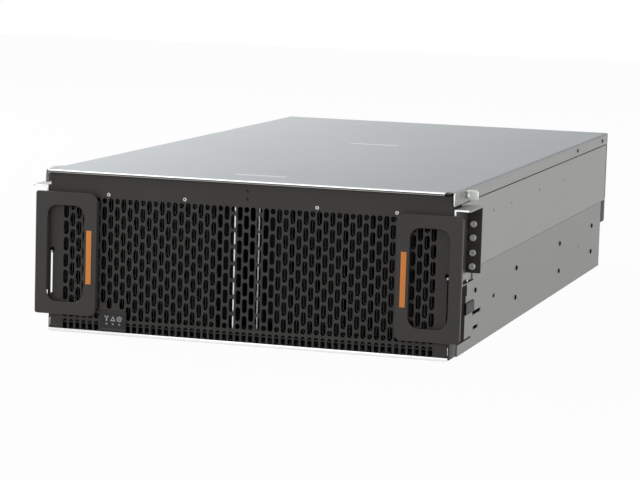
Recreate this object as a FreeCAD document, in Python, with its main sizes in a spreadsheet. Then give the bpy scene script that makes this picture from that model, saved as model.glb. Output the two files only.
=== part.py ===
import FreeCAD, Part
import os

import Sketcher

# Disk shelf enclosure, 4 rack units tall, for 60 disk drives loaded from the top.
# Frame: X to the right seen from the front, Y to the rear, Z up.  The origin is at the
# middle of the bottom, in the plane of the rack posts (the rear faces of the two ears).

V = FreeCAD.Vector
doc = FreeCAD.newDocument("disk_shelf_enclosure")

# ---------------------------------------------------------------- driving sizes (mm)
SIZES = {
    # rack standard: the ears reach 482.6 over all, and their holes are 465.1 apart
    "ear_reach": 17.8, "ear_hole_inset": 8.75, "unit_pitch": 44.45,
    "unit_hole_inset": 6.35, "unit_hole_pitch": 15.875,
    # chassis
    "body_width": 447.0, "body_height": 175.3, "steel": 1.2, "fit": 0.3,
    "bezel_ahead": 52.0, "cover_nose": 5.0, "cover_length": 863.6, "cover_lip": 14.3,
    "cover_front_lip": 4.0, "cover_corner_relief": 9.0,
    "wall_tail": 2.0, "lower_setback": 28.0, "seam_height": 85.6, "lap": 13.0,
    "tray_lip": 3.3, "shelf_height": 57.0,
    # front bezel and its perforation
    "bezel_bottom": 3.6, "bezel_depth": 33.0, "bezel_corner": 4.0, "foot_inset": 4.0,
    "foot_height": 23.0, "neck_drop": 17.3, "neck_inset": 2.5,
    "slot_columns": 57.0, "field_side": 20.5, "slot_web": 2.05, "slot_gap": 3.25,
    "slots_per_column": 7.0, "field_bottom": 17.0, "field_margin": 1.125,
    "vent_top": 14.3, "vent_web": 2.45,
    "strip_drop": 27.3, "screw_above_strip": 3.0, "bezel_screw_in": 73.0,
    "bezel_screw_side": 64.5, "bezel_screw_shift": 4.0, "bezel_screw_r": 2.1,
    "bezel_screw_head": 0.8, "key_hole_x": -3.5, "key_hole_drop": 20.5,
    "key_hole_pitch": 8.5, "key_hole": 2.6,
    "slit_side": 2.2, "slit_width": 3.5, "slit_bottom": 40.0, "slit_top": 86.5,
    # status panel
    "panel_inset": 61.9, "panel_width": 29.7, "panel_bottom": 4.6, "panel_height": 21.2,
    "panel_thick": 1.6, "panel_foot": 1.0, "lens_r": 0.9, "lens_pitch": 7.25,
    "lens_height": 12.4, "lens_proud": 0.3,
    # handles
    "handle_ahead": 8.0, "handle_outside": 11.6, "handle_width": 70.0,
    "handle_bottom": 19.7, "handle_drop": 23.3, "handle_sheet": 2.0, "handle_return": 6.0,
    "handle_corner": 2.5, "window_side": 13.4, "window_width": 42.3, "window_foot": 13.8,
    "window_head": 14.5, "window_corner": 11.5,
    "strip_width": 5.8, "strip_length": 57.6, "strip_thick": 0.6, "strip_below": 2.6,
    "strip_side": 2.9, "rim_gap": 0.4,
    # ears
    "ear_sheet": 2.0, "ear_bottom": 87.0, "ear_shelf_drop": 17.3, "ear_depth": 53.0, "rack_screw_r": 2.4, "rack_screw_shoulder": 3.1,
    "ear_hole_r": 3.3, "rack_screw_length": 9.0, "rack_screw_head_r": 3.6,
    "rack_screw_head": 2.6,
    # drives
    "drive_columns": 12.0, "drive_rows": 5.0, "drive_pitch": 29.0, "drive_thick": 26.1,
    "drive_depth": 101.6, "drive_headroom": 5.0, "row_pitch": 110.0, "first_row": 30.0,
    "deck_top": 11.6, "board": 1.6, "connector": 8.6, "beam_half": 13.0,
    "lever_side": 3.0, "lever_end": 10.0, "lever_thick": 2.0,
    # rear modules
    "fan_depth": 60.0, "fan_rim": 10.5, "fan_hub": 20.0, "fan_blades": 5.0,
    "fan_shaft_r": 2.0, "fan_play": 1.0, "fan_tip_gap": 2.0, "blade_width": 24.0,
    "blade_thick": 2.0, "blade_angle": 38.0, "rotor_length": 28.0, "seat_depth": 8.0,
    "module_gap": 5.4, "module_proud": 2.0, "bulkhead_gap": 4.0, "bulkhead_bar": 26.0,
    "psu_slot_width": 3.5, "psu_slot_pitch": 7.0, "inlet_width": 28.0, "inlet_height": 21.0,
    "grip_length": 40.0, "grip_reach": 22.0, "grip_bar": 4.0, "grip_height": 6.0,
    "release_size": 9.0, "release_height": 24.0, "cage_width": 66.0, "port_width": 18.0,
    "port_pitch": 21.5, "port_height": 10.0, "cam_pin_r": 2.0, "cam_width": 4.0,
    "cam_height": 10.0, "cam_hub_r": 3.4,
    # interfaces in the lower side walls
    "rail_hole_front": 258.0, "rail_hole_spread": 209.0, "rail_hole_end": 61.6,
    "rail_hole_low": 26.0, "rail_hole_high": 60.0, "rail_hole_r": 2.1,
    "rail_cut_front": -3.0, "rail_hook_drop": 11.6, "rail_hook_length": 43.0,
    "rail_hook_height": 10.0, "rail_slot_front": 45.5, "rail_slot_high": 35.0,
    "rail_slot_low": 18.5, "rail_slot_length": 37.0, "rail_slot_height": 4.0,
    "rail_key_front": 140.0, "rail_key_length": 12.0,
    "lock_front": 9.0, "lock_bottom": 40.0, "lock_length": 36.0, "lock_height": 12.0,
    "lock_proud": 2.0, "lock_flange": 3.0,
    # cover latches
    "latch_ahead": 2.0, "latch_plate": 50.0, "latch_margin": 0.3,
    "pin_back": 47.0, "pin_out": 3.0, "pin_r": 0.95, "barrel_r": 2.2, "running": 0.05,
    "tab_height": 11.0, "tab_drop": 0.4, "tab_reach": 15.3, "tab_thick": 3.0,
    "tab_corner": 3.0, "tab_rim": 2.5, "tab_dish": 0.8, "lug": 1.2,
    "rivet_r": 2.6, "rivet_head": 0.8, "rivet_drop": 7.3, "rivet_end": 74.6,
    "rivet_spread": 168.0,
}
dims = doc.addObject("Spreadsheet::Sheet", "dims")
for row, (alias, value) in enumerate(SIZES.items(), start=1):
    dims.set("A%d" % row, alias)
    dims.set("B%d" % row, str(value))
    dims.setAlias("B%d" % row, alias)

# Sizes that follow from the driving ones.
DERIVED = {
    "half": "body_width / 2",
    "face": "-bezel_ahead",
    "bezel_back": "-bezel_ahead + steel",
    "cover_front": "-bezel_ahead - cover_nose",
    "cover_end": "-bezel_ahead - cover_nose + cover_length",
    "wall_front": "-bezel_ahead + bezel_depth + fit",
    "upper_end": "-bezel_ahead - cover_nose + cover_length - wall_tail",
    "lower_end": "-bezel_ahead - cover_nose + cover_length - wall_tail - lower_setback",
    "lip_bottom": "body_height - cover_lip",
    "bezel_top": "body_height - cover_front_lip - fit",
    "wall_top": "body_height - steel - fit",
    "strip_bottom": "body_height - strip_drop",
    "screw_height": "body_height - strip_drop + screw_above_strip",
    "neck_height": "body_height - neck_drop",
    "column_pitch": "(body_width - 2 * field_side) / (slot_columns - 1)",
    "slot_width": "(body_width - 2 * field_side) / (slot_columns - 1) - slot_web",
    "vent_width": "(body_width - 2 * field_side) / (slot_columns - 1) - vent_web",
    "slot_pitch": "(body_height - strip_drop - field_margin - field_bottom + slot_gap)"
                  " / (slots_per_column + 0.5)",
    "panel_left": "-body_width / 2 + panel_inset",
    "bezel_screw_out": "body_width / 2 - bezel_screw_side",
    "handle_front": "-bezel_ahead - handle_ahead",
    "handle_out": "body_width / 2 + handle_outside",
    "handle_in": "body_width / 2 + handle_outside - handle_width",
    "handle_top": "body_height - handle_drop",
    "window_out": "body_width / 2 + handle_outside - window_side",
    "window_in": "body_width / 2 + handle_outside - window_side - window_width",
    "window_bottom": "handle_bottom + window_foot",
    "window_top": "body_height - handle_drop - window_head",
    "ear_out": "body_width / 2 + ear_reach",
    "ear_hole_x": "body_width / 2 + ear_reach - ear_hole_inset",
    "ear_shelf_top": "body_height - ear_shelf_drop",
    "ear_top": "body_height - ear_shelf_drop - ear_sheet",
    "under_gap": "(4 * unit_pitch - body_height) / 2",
    "drive_floor": "deck_top + board + connector",
    "drive_height": "body_height - steel - fit - drive_headroom - deck_top - board - connector",
    "drives_front": "-bezel_ahead + first_row",
    "inner_half": "body_width / 2 - 2 * steel - fit",
    "rows_end": "-bezel_ahead + first_row + drive_rows * row_pitch",
    "bulkhead_y": "-bezel_ahead + first_row + drive_rows * row_pitch + bulkhead_gap",
    "bay_width": "(body_width - 5 * steel) / 4",
    "fan_pitch": "(body_width - 4 * steel - 2 * fit - 2 * fan_play) / 4",
    "fan_front": "-bezel_ahead - cover_nose + cover_length - wall_tail - fan_depth",
    "fan_bottom": "shelf_height + steel + fit",
    "fan_height": "body_height - 3 * fit - 2 * steel - shelf_height",
    "fan_bore": "(body_height - 3 * fit - 2 * steel - shelf_height) / 2 - fan_rim",
    "module_rear": "-bezel_ahead - cover_nose + cover_length - wall_tail - lower_setback"
                   " + module_proud",
    "rail_hole_rear": "cover_length - bezel_ahead - cover_nose - wall_tail - lower_setback"
                      " - rail_hole_end",
    "rail_hole_middle": "cover_length - bezel_ahead - cover_nose - wall_tail - lower_setback"
                        " - rail_hole_end - rail_hole_spread",
    "strip_x": "body_width / 2 + handle_outside - window_side - window_width - strip_side"
               " - strip_width / 2",
    "latch_front": "-bezel_ahead - cover_nose - latch_ahead",
    "latch_top": "body_height - latch_margin",
    "pin_y": "-bezel_ahead - cover_nose - latch_ahead + pin_back",
    "pin_x": "body_width / 2 + steel + pin_out",
    "tab_top": "body_height - tab_drop",
    "tab_bottom": "body_height - tab_drop - tab_height",
    "rivet_height": "body_height - rivet_drop",
    "rivet_rear": "-bezel_ahead - cover_nose + cover_length - rivet_end",
    "rivet_front": "-bezel_ahead - cover_nose + cover_length - rivet_end - rivet_spread",
}
for row, (alias, formula) in enumerate(DERIVED.items(), start=len(SIZES) + 1):
    dims.set("A%d" % row, alias)
    dims.set("B%d" % row, "=" + formula)
    dims.setAlias("B%d" % row, alias)
doc.recompute()


# ---------------------------------------------------------------- helpers
def size(alias):
    """Value of one cell of the sheet."""
    return float(dims.get(alias))


def in_cells(formula):
    """The formula with each size's name written as a cell of the sheet."""
    out, token = "", ""
    for char in str(formula) + " ":
        if char.isalnum() or char in "_.":
            token += char
        else:
            out += ("dims." if token in SIZES or token in DERIVED else "") + token + char
            token = ""
    return out.strip()


def bind(obj, prop, formula):
    """Tie a property to a formula in the sheet's aliases."""
    obj.setExpression(prop, in_cells(formula))


def place(obj, x, y, z):
    for axis, formula in zip("xyz", (x, y, z)):
        bind(obj, "Placement.Base." + axis, formula)
    return obj


def box(name, low, span):
    """Box with its low corner and its three lengths given as formulas."""
    obj = doc.addObject("Part::Box", name)
    for prop, formula in zip(("Length", "Width", "Height"), span):
        bind(obj, prop, formula)
    return place(obj, *low)


TURNS = {"x": FreeCAD.Rotation(V(0, 1, 0), 90), "y": FreeCAD.Rotation(V(1, 0, 0), -90),
         "z": FreeCAD.Rotation()}


def rod(name, axis, base, radius, length):
    """Cylinder along an axis from its base point towards the axis's plus side."""
    obj = doc.addObject("Part::Cylinder", name)
    obj.Placement.Rotation = TURNS[axis]
    bind(obj, "Radius", radius)
    bind(obj, "Height", length)
    return place(obj, *base)


def fuse(label, pieces):
    obj = doc.addObject("Part::MultiFuse", label)
    obj.Shapes = pieces
    obj.Refine = True
    return obj


def cut(label, base, tools):
    obj = doc.addObject("Part::Cut", label)
    obj.Base = base
    obj.Tool = tools[0] if len(tools) == 1 else group(label + "_tools", tools)
    return obj


def group(label, pieces):
    obj = doc.addObject("Part::Compound", label)
    obj.Links = pieces
    return obj


def mirror(label, source):
    """The same piece on the other side of the middle plane."""
    obj = doc.addObject("Part::Mirroring", label)
    obj.Source = source
    obj.Normal = V(1, 0, 0)
    return obj


PLANE_OF = {"XY": "XY_Plane", "XZ": "XZ_Plane", "YZ": "YZ_Plane"}


def sketch_on(body, plane, name):
    sketch = body.newObject("Sketcher::SketchObject", name)
    origin = [f for f in body.Origin.OriginFeatures if f.Role == PLANE_OF[plane]][0]
    sketch.AttachmentSupport = (origin, "")
    sketch.MapMode = "FlatFace"
    return sketch


def pin_point(sketch, geo, end, x, y):
    """Hold one sketch point at (x, y), both formulas."""
    for kind, axis, formula in (("DistanceX", -2, x), ("DistanceY", -1, y)):
        value = dims.evalExpression(str(formula))
        value = getattr(value, "Value", value)
        if abs(value) < 1e-9:
            sketch.addConstraint(Sketcher.Constraint("PointOnObject", geo, end, axis))
        elif value > 0:
            n = sketch.addConstraint(Sketcher.Constraint(kind, -1, 1, geo, end, value))
            bind(sketch, "Constraints[%d]" % n, str(formula))
        else:
            n = sketch.addConstraint(Sketcher.Constraint(kind, geo, end, -1, 1, -value))
            bind(sketch, "Constraints[%d]" % n, "-(%s)" % formula)


def number(formula):
    value = dims.evalExpression(str(formula))
    return float(getattr(value, "Value", value))


def outline(sketch, points):
    """Closed polygon through points whose coordinates are formulas."""
    ends = [V(number(x), number(y), 0) for x, y in points]
    first = sketch.GeometryCount
    count = len(points)
    for i in range(count):
        sketch.addGeometry(Part.LineSegment(ends[i], ends[(i + 1) % count]), False)
    for i in range(count):
        sketch.addConstraint(Sketcher.Constraint("Coincident", first + i, 2,
                                                 first + (i + 1) % count, 1))
    for i, (x, y) in enumerate(points):
        pin_point(sketch, first + i, 1, x, y)


def rounded(sketch, left, bottom, right, top, radius):
    """Rectangle with four equal round corners; its sides are formulas."""
    x0, y0, x1, y1, r = [number(f) for f in (left, bottom, right, top, radius)]
    first = sketch.GeometryCount
    quarter = 1.5707963267948966
    sides = [((x0 + r, y0), (x1 - r, y0)), ((x1, y0 + r), (x1, y1 - r)),
             ((x1 - r, y1), (x0 + r, y1)), ((x0, y1 - r), (x0, y0 + r))]
    for a, b in sides:
        sketch.addGeometry(Part.LineSegment(V(*a, 0), V(*b, 0)), False)
    centres = [(x1 - r, y0 + r), (x1 - r, y1 - r), (x0 + r, y1 - r), (x0 + r, y0 + r)]
    for i, (x, y) in enumerate(centres):
        circle = Part.Circle(V(x, y, 0), V(0, 0, 1), r)
        sketch.addGeometry(Part.ArcOfCircle(circle, quarter * (i - 1), quarter * i), False)
    for i in range(4):
        arc = first + 4 + i
        sketch.addConstraint(Sketcher.Constraint("Tangent", first + i, 2, arc, 1))
        sketch.addConstraint(Sketcher.Constraint("Tangent", arc, 2, first + (i + 1) % 4, 1))
        kind = "Horizontal" if i % 2 == 0 else "Vertical"
        sketch.addConstraint(Sketcher.Constraint(kind, first + i))
    for i in range(3):
        sketch.addConstraint(Sketcher.Constraint("Equal", first + 4, first + 5 + i))
    n = sketch.addConstraint(Sketcher.Constraint("Radius", first + 4, r))
    bind(sketch, "Constraints[%d]" % n, radius)
    for geo, kind, formula in ((0, "DistanceY", bottom), (2, "DistanceY", top),
                               (1, "DistanceX", right), (3, "DistanceX", left)):
        value = number(formula)
        if value > 0:
            rule = Sketcher.Constraint(kind, -1, 1, first + geo, 1, value)
            signed = str(formula)
        else:
            rule = Sketcher.Constraint(kind, first + geo, 1, -1, 1, -value)
            signed = "-(%s)" % formula
        n = sketch.addConstraint(rule)
        bind(sketch, "Constraints[%d]" % n, signed)


def body(name):
    return doc.addObject("PartDesign::Body", name)


def pad(part, sketch, length, backwards=False):
    feature = part.newObject("PartDesign::Pad", sketch.Name + "_pad")
    feature.Profile = sketch
    bind(feature, "Length", length)
    feature.Reversed = backwards
    sketch.Visibility = False
    part.Tip = feature
    return feature


def pocket(part, sketch, length, backwards=False):
    feature = part.newObject("PartDesign::Pocket", sketch.Name + "_pocket")
    feature.Profile = sketch
    bind(feature, "Length", length)
    feature.Reversed = backwards
    part.Tip = feature
    return feature


def bar_along_y(label, points, start, length):
    """Sheet profile drawn across the shelf and drawn out towards the rear."""
    part = body(label)
    sketch = sketch_on(part, "XZ", label + "_profile")
    outline(sketch, points)
    pad(part, sketch, length, backwards=True)
    bind(part, "Placement.Base.y", start)
    return part


def bar_along_x(label, points, start, length):
    """Profile drawn from the side and drawn out to the right."""
    part = body(label)
    sketch = sketch_on(part, "YZ", label + "_profile")
    outline(sketch, points)
    pad(part, sketch, length)
    bind(part, "Placement.Base.x", start)
    return part


pieces = []


def keep(*objects):
    """Count finished sub-parts; each one's Label is its node's name."""
    pieces.extend(objects)


# ---------------------------------------------------------------- chassis
SIDES = {"right": 1, "left": -1}


def through_side(name, side, y, z, tool_size):
    """Cutter through one lower side wall: a radius for a round hole, else (length, height)."""
    x = "half - 2 * steel" if side == "right" else "-half - steel"
    if isinstance(tool_size, str):
        return rod(name, "x", (x, y, z), tool_size, "3 * steel")
    return box(name, (x, y, z), ("3 * steel",) + tool_size)


# Openings of the lower side walls for the rail's hooks: low corner, length and height.
RAIL_CUTS = [("hook_window", "rail_cut_front", "seam_height - rail_hook_drop",
              "rail_hook_length", "rail_hook_height"),
             ("upper_slot", "rail_slot_front", "rail_slot_high", "rail_slot_length",
              "rail_slot_height"),
             ("lower_slot", "rail_slot_front + 5", "rail_slot_low", "rail_slot_length - 16",
              "rail_slot_height"),
             ("key_slot", "rail_key_front", "rail_slot_high + 6", "rail_key_length",
              "rail_slot_height")]


def base_tray():
    shell = bar_along_y("tray_shell", [
        ("-half", "0"), ("half", "0"), ("half", "seam_height"), ("half - steel", "seam_height"),
        ("half - steel", "steel"), ("-half + steel", "steel"), ("-half + steel", "seam_height"),
        ("-half", "seam_height")], "wall_front", "lower_end - wall_front")
    nose_span = "body_width - 2 * foot_inset"
    nose = box("tray_nose", ("-half + foot_inset", "face", "0"),
               (nose_span, "wall_front - face", "steel"))
    lip = box("tray_lip_fold", ("-half + foot_inset", "face", "0"),
              (nose_span, "steel", "tray_lip"))
    tools = []
    for side in SIDES:
        for y in ("front", "middle", "rear"):
            for z in ("low", "high"):
                tools.append(through_side("rail_hole_%s_%s_%s" % (side, y, z), side,
                                          "rail_hole_" + y, "rail_hole_" + z, "rail_hole_r"))
        tools.append(through_side("lock_window_" + side, side, "lock_front - fit",
                                  "lock_bottom - fit",
                                  ("lock_length + 2 * fit", "lock_height + 2 * fit")))
        for name, y, z, length, height in RAIL_CUTS:
            tools.append(through_side("rail_%s_%s" % (name, side), side, y, z,
                                      (length, height)))
    return cut("base_tray", fuse("tray_folded", [shell, nose, lip]), tools)


def side_wall():
    lapped = "inner_half + steel"
    return bar_along_y("side_wall_right", [
        (lapped, "seam_height + fit - lap"), (lapped, "seam_height + fit"),
        ("half", "seam_height + fit"), ("half", "lip_bottom - fit"),
        (lapped, "lip_bottom - fit"), (lapped, "wall_top"), ("inner_half", "wall_top"),
        ("inner_half", "lip_bottom - fit - steel"),
        ("half - steel", "lip_bottom - fit - steel"),
        ("half - steel", "seam_height + fit + steel"),
        ("inner_half", "seam_height + fit + steel"),
        ("inner_half", "seam_height + fit - lap")],
        "wall_front", "upper_end - wall_front")


def front_beam():
    top = "bezel_top - steel"
    depth = "drives_front - fit"
    return bar_along_x("front_beam", [
        ("bezel_back", "strip_bottom"), (depth, "strip_bottom"),
        (depth, "strip_bottom + steel"), ("bezel_back + steel", "strip_bottom + steel"),
        ("bezel_back + steel", top + " - steel"), (depth, top + " - steel"),
        (depth, top), ("bezel_back", top)],
        "-half + neck_inset + steel + fit", "2 * (half - neck_inset - steel - fit)")


def drive_deck():
    folded = bar_along_y("deck_folded", [
        ("-half + 2 * steel", "steel"), ("-half + 3 * steel", "steel"),
        ("-half + 3 * steel", "deck_top - steel"), ("half - 3 * steel", "deck_top - steel"),
        ("half - 3 * steel", "steel"), ("half - 2 * steel", "steel"),
        ("half - 2 * steel", "deck_top"), ("-half + 2 * steel", "deck_top")],
        "wall_front", "rows_end - wall_front")
    nose_half = "half - foot_inset - steel - fit"
    nose = box("deck_nose", ("-(%s)" % nose_half, "bezel_back", "deck_top - steel"),
               ("2 * (%s)" % nose_half, "wall_front - bezel_back", "steel"))
    return fuse("drive_deck", [folded, nose])


SCREW_X = ("bezel_screw_shift + bezel_screw_in", "bezel_screw_shift + bezel_screw_out",
           "bezel_screw_shift - bezel_screw_in", "bezel_screw_shift - bezel_screw_out")
tray = base_tray()
wall_right = side_wall()
keep(tray, wall_right, mirror("side_wall_left", wall_right), front_beam(), drive_deck())


# ---------------------------------------------------------------- drive bay
def centre_beam():
    base = "deck_top + board"
    top = "field_bottom + (slots_per_column + 1) * slot_pitch - slot_gap"
    return bar_along_y("centre_beam", [
        ("-beam_half", base), ("beam_half", base), ("beam_half", top),
        ("beam_half - steel", top), ("beam_half - steel", base + " + steel"),
        ("-beam_half + steel", base + " + steel"), ("-beam_half + steel", top),
        ("-beam_half", top)], "drives_front", "rows_end - drives_front")


def row_wall(name, row, side):
    """Half of the cross wall behind one row of drives, with a window for air."""
    y = "drives_front + %d * row_pitch - (row_pitch - drive_depth) / 2" % (row + 1)
    span = "inner_half - beam_half - 2 * fit"
    low = "beam_half + fit" if side > 0 else "-inner_half + fit"
    plate = box(name + "_plate", (low, y, "deck_top + board"), (span, "steel", "drive_height"))
    window = box(name + "_window", (low + " + field_side", y + " - 1", "drive_floor + field_side"),
                 ("%s - 2 * field_side" % span, "steel + 2",
                  "drive_height - connector - 2 * field_side"))
    return cut(name, plate, [window])


def copies(label, master, places):
    """Group of one solid repeated at several places, each place three formulas."""
    links = []
    for i, spot in enumerate(places):
        link = doc.addObject("App::Link", "%s_%02d" % (label, i + 1))
        link.LinkedObject = master
        links.append(place(link, *spot))
    return group(label, links)


def columns():
    count = int(size("drive_columns")) // 2
    return ["%d * drive_pitch" % k for k in range(-count, count + 1) if k]


board = box("backplane", ("-half + foot_inset + steel + fit", "drives_front - 5", "deck_top"),
            ("2 * (half - foot_inset - steel - fit)", "rows_end - drives_front + 5", "board"))
keep(board, centre_beam())
walls = [row_wall("row_wall_%d%s" % (row + 1, name), row, sign)
         for row in range(int(size("drive_rows"))) for name, sign in (("r", 1), ("l", -1))]
keep(group("row_walls", walls))

drive = box("drive_master", ("0", "0", "0"), ("drive_thick", "drive_depth", "drive_height"))
lever = box("lever_master", ("0", "0", "0"),
            ("drive_thick - 2 * lever_side", "drive_depth - 2 * lever_end", "lever_thick"))
strips = []
levers = []
for row in range(int(size("drive_rows"))):
    row_y = "drives_front + %d * row_pitch" % row
    spots = [(x + " - drive_thick / 2", row_y, "drive_floor") for x in columns()]
    keep(copies("drives_row_%d" % (row + 1), drive, spots))
    levers += [(x + " - drive_thick / 2 + lever_side", row_y + " + lever_end",
                "drive_floor + drive_height")
               for x in columns()]
    for sign, low in ((1, "beam_half + 4"), (-1, "-6.5 * drive_pitch + 4")):
        strips.append(box("connector_strip_%d%s" % (row + 1, "lr"[sign > 0]),
                          (low, row_y + " + 30", "deck_top + board"),
                          ("6.5 * drive_pitch - beam_half - 8", "8", "connector")))
keep(group("drive_connectors", strips), copies("drive_levers", lever, levers))


# ---------------------------------------------------------------- front
def slot_wire(x, low, high, width):
    """Upright slot in the bezel's front plane; square ended to keep the grille light."""
    y = size("face")
    half_width = width / 2
    corners = [V(x - half_width, y, low), V(x + half_width, y, low),
               V(x + half_width, y, high), V(x - half_width, y, high)]
    return Part.makePolygon(corners + corners[:1])


def over_panel(x):
    """True for a column that stands over the status panel."""
    left = size("panel_left")
    return left - 1 < x < left + size("panel_width") - 1


def slot_spans(column, x):
    """Heights of the slots in one column: full slots and one short one, half a pitch apart."""
    pitch = size("slot_pitch")
    length = pitch - size("slot_gap")
    low = size("field_bottom")
    count = int(size("slots_per_column"))
    short = length - pitch / 2
    spans = [(low + i * pitch, low + i * pitch + length) for i in range(count)]
    if column % 2:
        spans.append((low + count * pitch, low + count * pitch + short))
    else:
        spans = [(low, low + short)] + [(a + pitch / 2, b + pitch / 2) for a, b in spans]
    if over_panel(x):
        floor = size("panel_bottom") + size("panel_height") + 2.5
        spans = [(max(a, floor), b) for a, b in spans if b > floor + 5]
    return spans


def bezel_edge(sign):
    """One side of the bezel's outline from the bottom to the top: outer and inner points."""
    half, steel, corner = size("half"), size("steel"), size("bezel_corner")
    foot, neck = half - size("foot_inset"), half - size("neck_inset")
    bottom, top = size("bezel_bottom"), size("bezel_top")
    step, shoulder = size("foot_height"), size("neck_height")
    outer = [(foot - corner, bottom), (foot, bottom + corner), (foot, step), (half, step),
             (half, shoulder), (neck, shoulder), (neck, top)]
    inner = [(foot - steel, bottom + corner), (foot - steel, step + steel),
             (half - steel, step + steel), (half - steel, shoulder - steel),
             (neck - steel, shoulder - steel), (neck - steel, top - steel)]
    return [(sign * x, z) for x, z in outer], [(sign * x, z) for x, z in inner]


def wire(points, y):
    corners = [V(x, y, z) for x, z in points]
    return Part.makePolygon(corners + corners[:1])


def vent_tops():
    """Centres of the bottom vents: one under each column, but none under the panel."""
    pitch, count = size("column_pitch"), int(size("slot_columns"))
    xs = [(i - (count - 1) / 2) * pitch for i in range(count)]
    return [x for x in xs if not over_panel(x)]


def front_bezel():
    """Folded sheet with the staggered slots, the bottom comb of vents and the screw holes."""
    face, steel = size("face"), size("steel")
    right_out, right_in = bezel_edge(1)
    left_out, left_in = bezel_edge(-1)
    count, pitch = int(size("slot_columns")), size("column_pitch")
    holes = []
    for column in range(count):
        x = (column - (count - 1) / 2) * pitch
        for low, high in slot_spans(column + 1, x):
            holes.append(slot_wire(x, low, high, size("slot_width")))
    bottom = [(left_out[0][0], left_out[0][1])]
    half_vent = size("vent_width") / 2
    low, high = size("bezel_bottom"), size("vent_top")
    for x in vent_tops():
        bottom += [(x - half_vent, low), (x - half_vent, high), (x + half_vent, high),
                   (x + half_vent, low)]
    border = bottom + right_out + left_out[:0:-1]
    slit = size("slit_width")
    slit_x = size("half") - size("slit_side") - slit / 2
    for x in (-slit_x, slit_x):
        holes.append(slot_wire(x, size("slit_bottom"), size("slit_top"), slit))
    x, side = size("key_hole_x"), size("key_hole")
    for i in range(2):
        z = size("body_height") - size("key_hole_drop") + i * size("key_hole_pitch")
        holes.append(slot_wire(x, z - side / 2, z + side / 2, side))
    plate = Part.Face([wire(border, face)] + holes, "Part::FaceMakerBullseye")
    plate = plate.extrude(V(0, steel, 0))
    rim = right_out[1:] + left_out[:0:-1] + left_in + right_in[::-1]
    folds = Part.Face(wire(rim, face + steel)).extrude(V(0, size("bezel_depth") - steel, 0))
    side_gap = Part.makeBox(size("body_width") + 2, size("bezel_depth") + 1,
                            size("slit_top") - size("slit_bottom"),
                            V(-size("half") - 1, face + steel, size("slit_bottom")))
    folds = folds.cut(side_gap)
    feature = doc.addObject("Part::Feature", "front_bezel")
    feature.Shape = plate.fuse(folds)
    feature.Placement = FreeCAD.Placement()
    return feature


def turned_screw(label, profile):
    """Screw turned about its axis, which runs along Y; profile is (y, radius) formulas."""
    part = body(label)
    sketch = sketch_on(part, "XY", label + "_half")
    outline(sketch, [(radius, y) for y, radius in profile])
    turn = part.newObject("PartDesign::Revolution", label + "_turned")
    turn.Profile = sketch
    turn.ReferenceAxis = (sketch, ["V_Axis"])
    turn.Angle = 360
    sketch.Visibility = False
    part.Tip = turn
    return part


def bezel_screws():
    """Low heads of the four screws that hold the bezel to the front beam."""
    return group("bezel_screws", [
        rod("bezel_screw_%d" % i, "y", (x, "face - bezel_screw_head", "screw_height"),
            "bezel_screw_r", "bezel_screw_head") for i, x in enumerate(SCREW_X)])


def status_panel():
    """Thin panel with a thicker foot, and three light pipes on its face."""
    top, front = "panel_bottom + panel_height", "face - panel_thick"
    plate = bar_along_x("status_panel", [
        ("face", "panel_bottom"), ("face", top), (front + " + panel_thick / 3", top),
        (front, top + " - panel_thick / 3"), (front, "panel_bottom + 3 * panel_foot"),
        (front + " - panel_foot", "panel_bottom + 1.5 * panel_foot"),
        (front + " - panel_foot", "panel_bottom")], "panel_left", "panel_width")
    lenses = [rod("lens_%d" % k, "y", ("panel_left + panel_width / 2 + (%d) * lens_pitch" % (k - 1),
                                       front + " - lens_proud", "lens_height"),
                  "lens_r", "lens_proud") for k in range(3)]
    return plate, group("status_lenses", lenses)


keep(front_bezel(), bezel_screws(), *status_panel())


# ---------------------------------------------------------------- handles and ears
def handle():
    plate = body("handle_plate")
    sketch = sketch_on(plate, "XZ", "handle_outline")
    rounded(sketch, "handle_in", "handle_bottom", "handle_out", "handle_top", "handle_corner")
    rounded(sketch, "window_in", "window_bottom", "window_out", "window_top", "window_corner")
    pad(plate, sketch, "handle_sheet", backwards=True)
    bind(plate, "Placement.Base.y", "handle_front")
    tall = "handle_top - handle_bottom - 2 * handle_corner"
    low = "handle_bottom + handle_corner"
    cheek = box("handle_cheek", ("handle_in", "handle_front + handle_sheet / 2", low),
                ("handle_sheet", "face - handle_front - handle_sheet / 2", tall))
    edge = box("handle_edge", ("handle_out - handle_sheet", "handle_front + handle_sheet / 2", low),
               ("handle_sheet", "handle_return - handle_sheet / 2", tall))
    rim = box("handle_rim", ("window_out", "handle_front + handle_sheet / 2",
                             "window_bottom + window_corner"),
              ("handle_sheet", "face - rim_gap - handle_front - handle_sheet / 2",
               "window_top - window_bottom - 2 * window_corner"))
    return fuse("handle_right", [plate, cheek, edge, rim])


def ear_heights():
    """The four hole heights of the rack standard that the ear reaches."""
    base = "2 * unit_pitch + unit_hole_inset - under_gap"
    return [base + " + %d * unit_hole_pitch" % k for k in range(3)] + [base + " + unit_pitch"]


def ear():
    inside, tall = "half + fit", "ear_top - ear_bottom + ear_sheet / 2"
    leg = box("ear_leg", (inside, "-ear_depth", "ear_bottom"), ("ear_sheet", "ear_depth", tall))
    flange = box("ear_flange", (inside, "-ear_sheet", "ear_bottom"),
                 ("ear_out - half - fit", "ear_sheet", tall))
    shelf = box("ear_shelf", (inside, "-ear_depth", "ear_top"),
                ("ear_out - half - fit", "ear_depth", "ear_sheet"))
    holes = [rod("ear_hole_%d" % i, "y", ("ear_hole_x", "-ear_sheet - 1", z),
                 "ear_hole_r", "ear_sheet + 2") for i, z in enumerate(ear_heights())]
    return cut("ear_right", fuse("ear_folded", [leg, flange, shelf]), holes)


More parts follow.
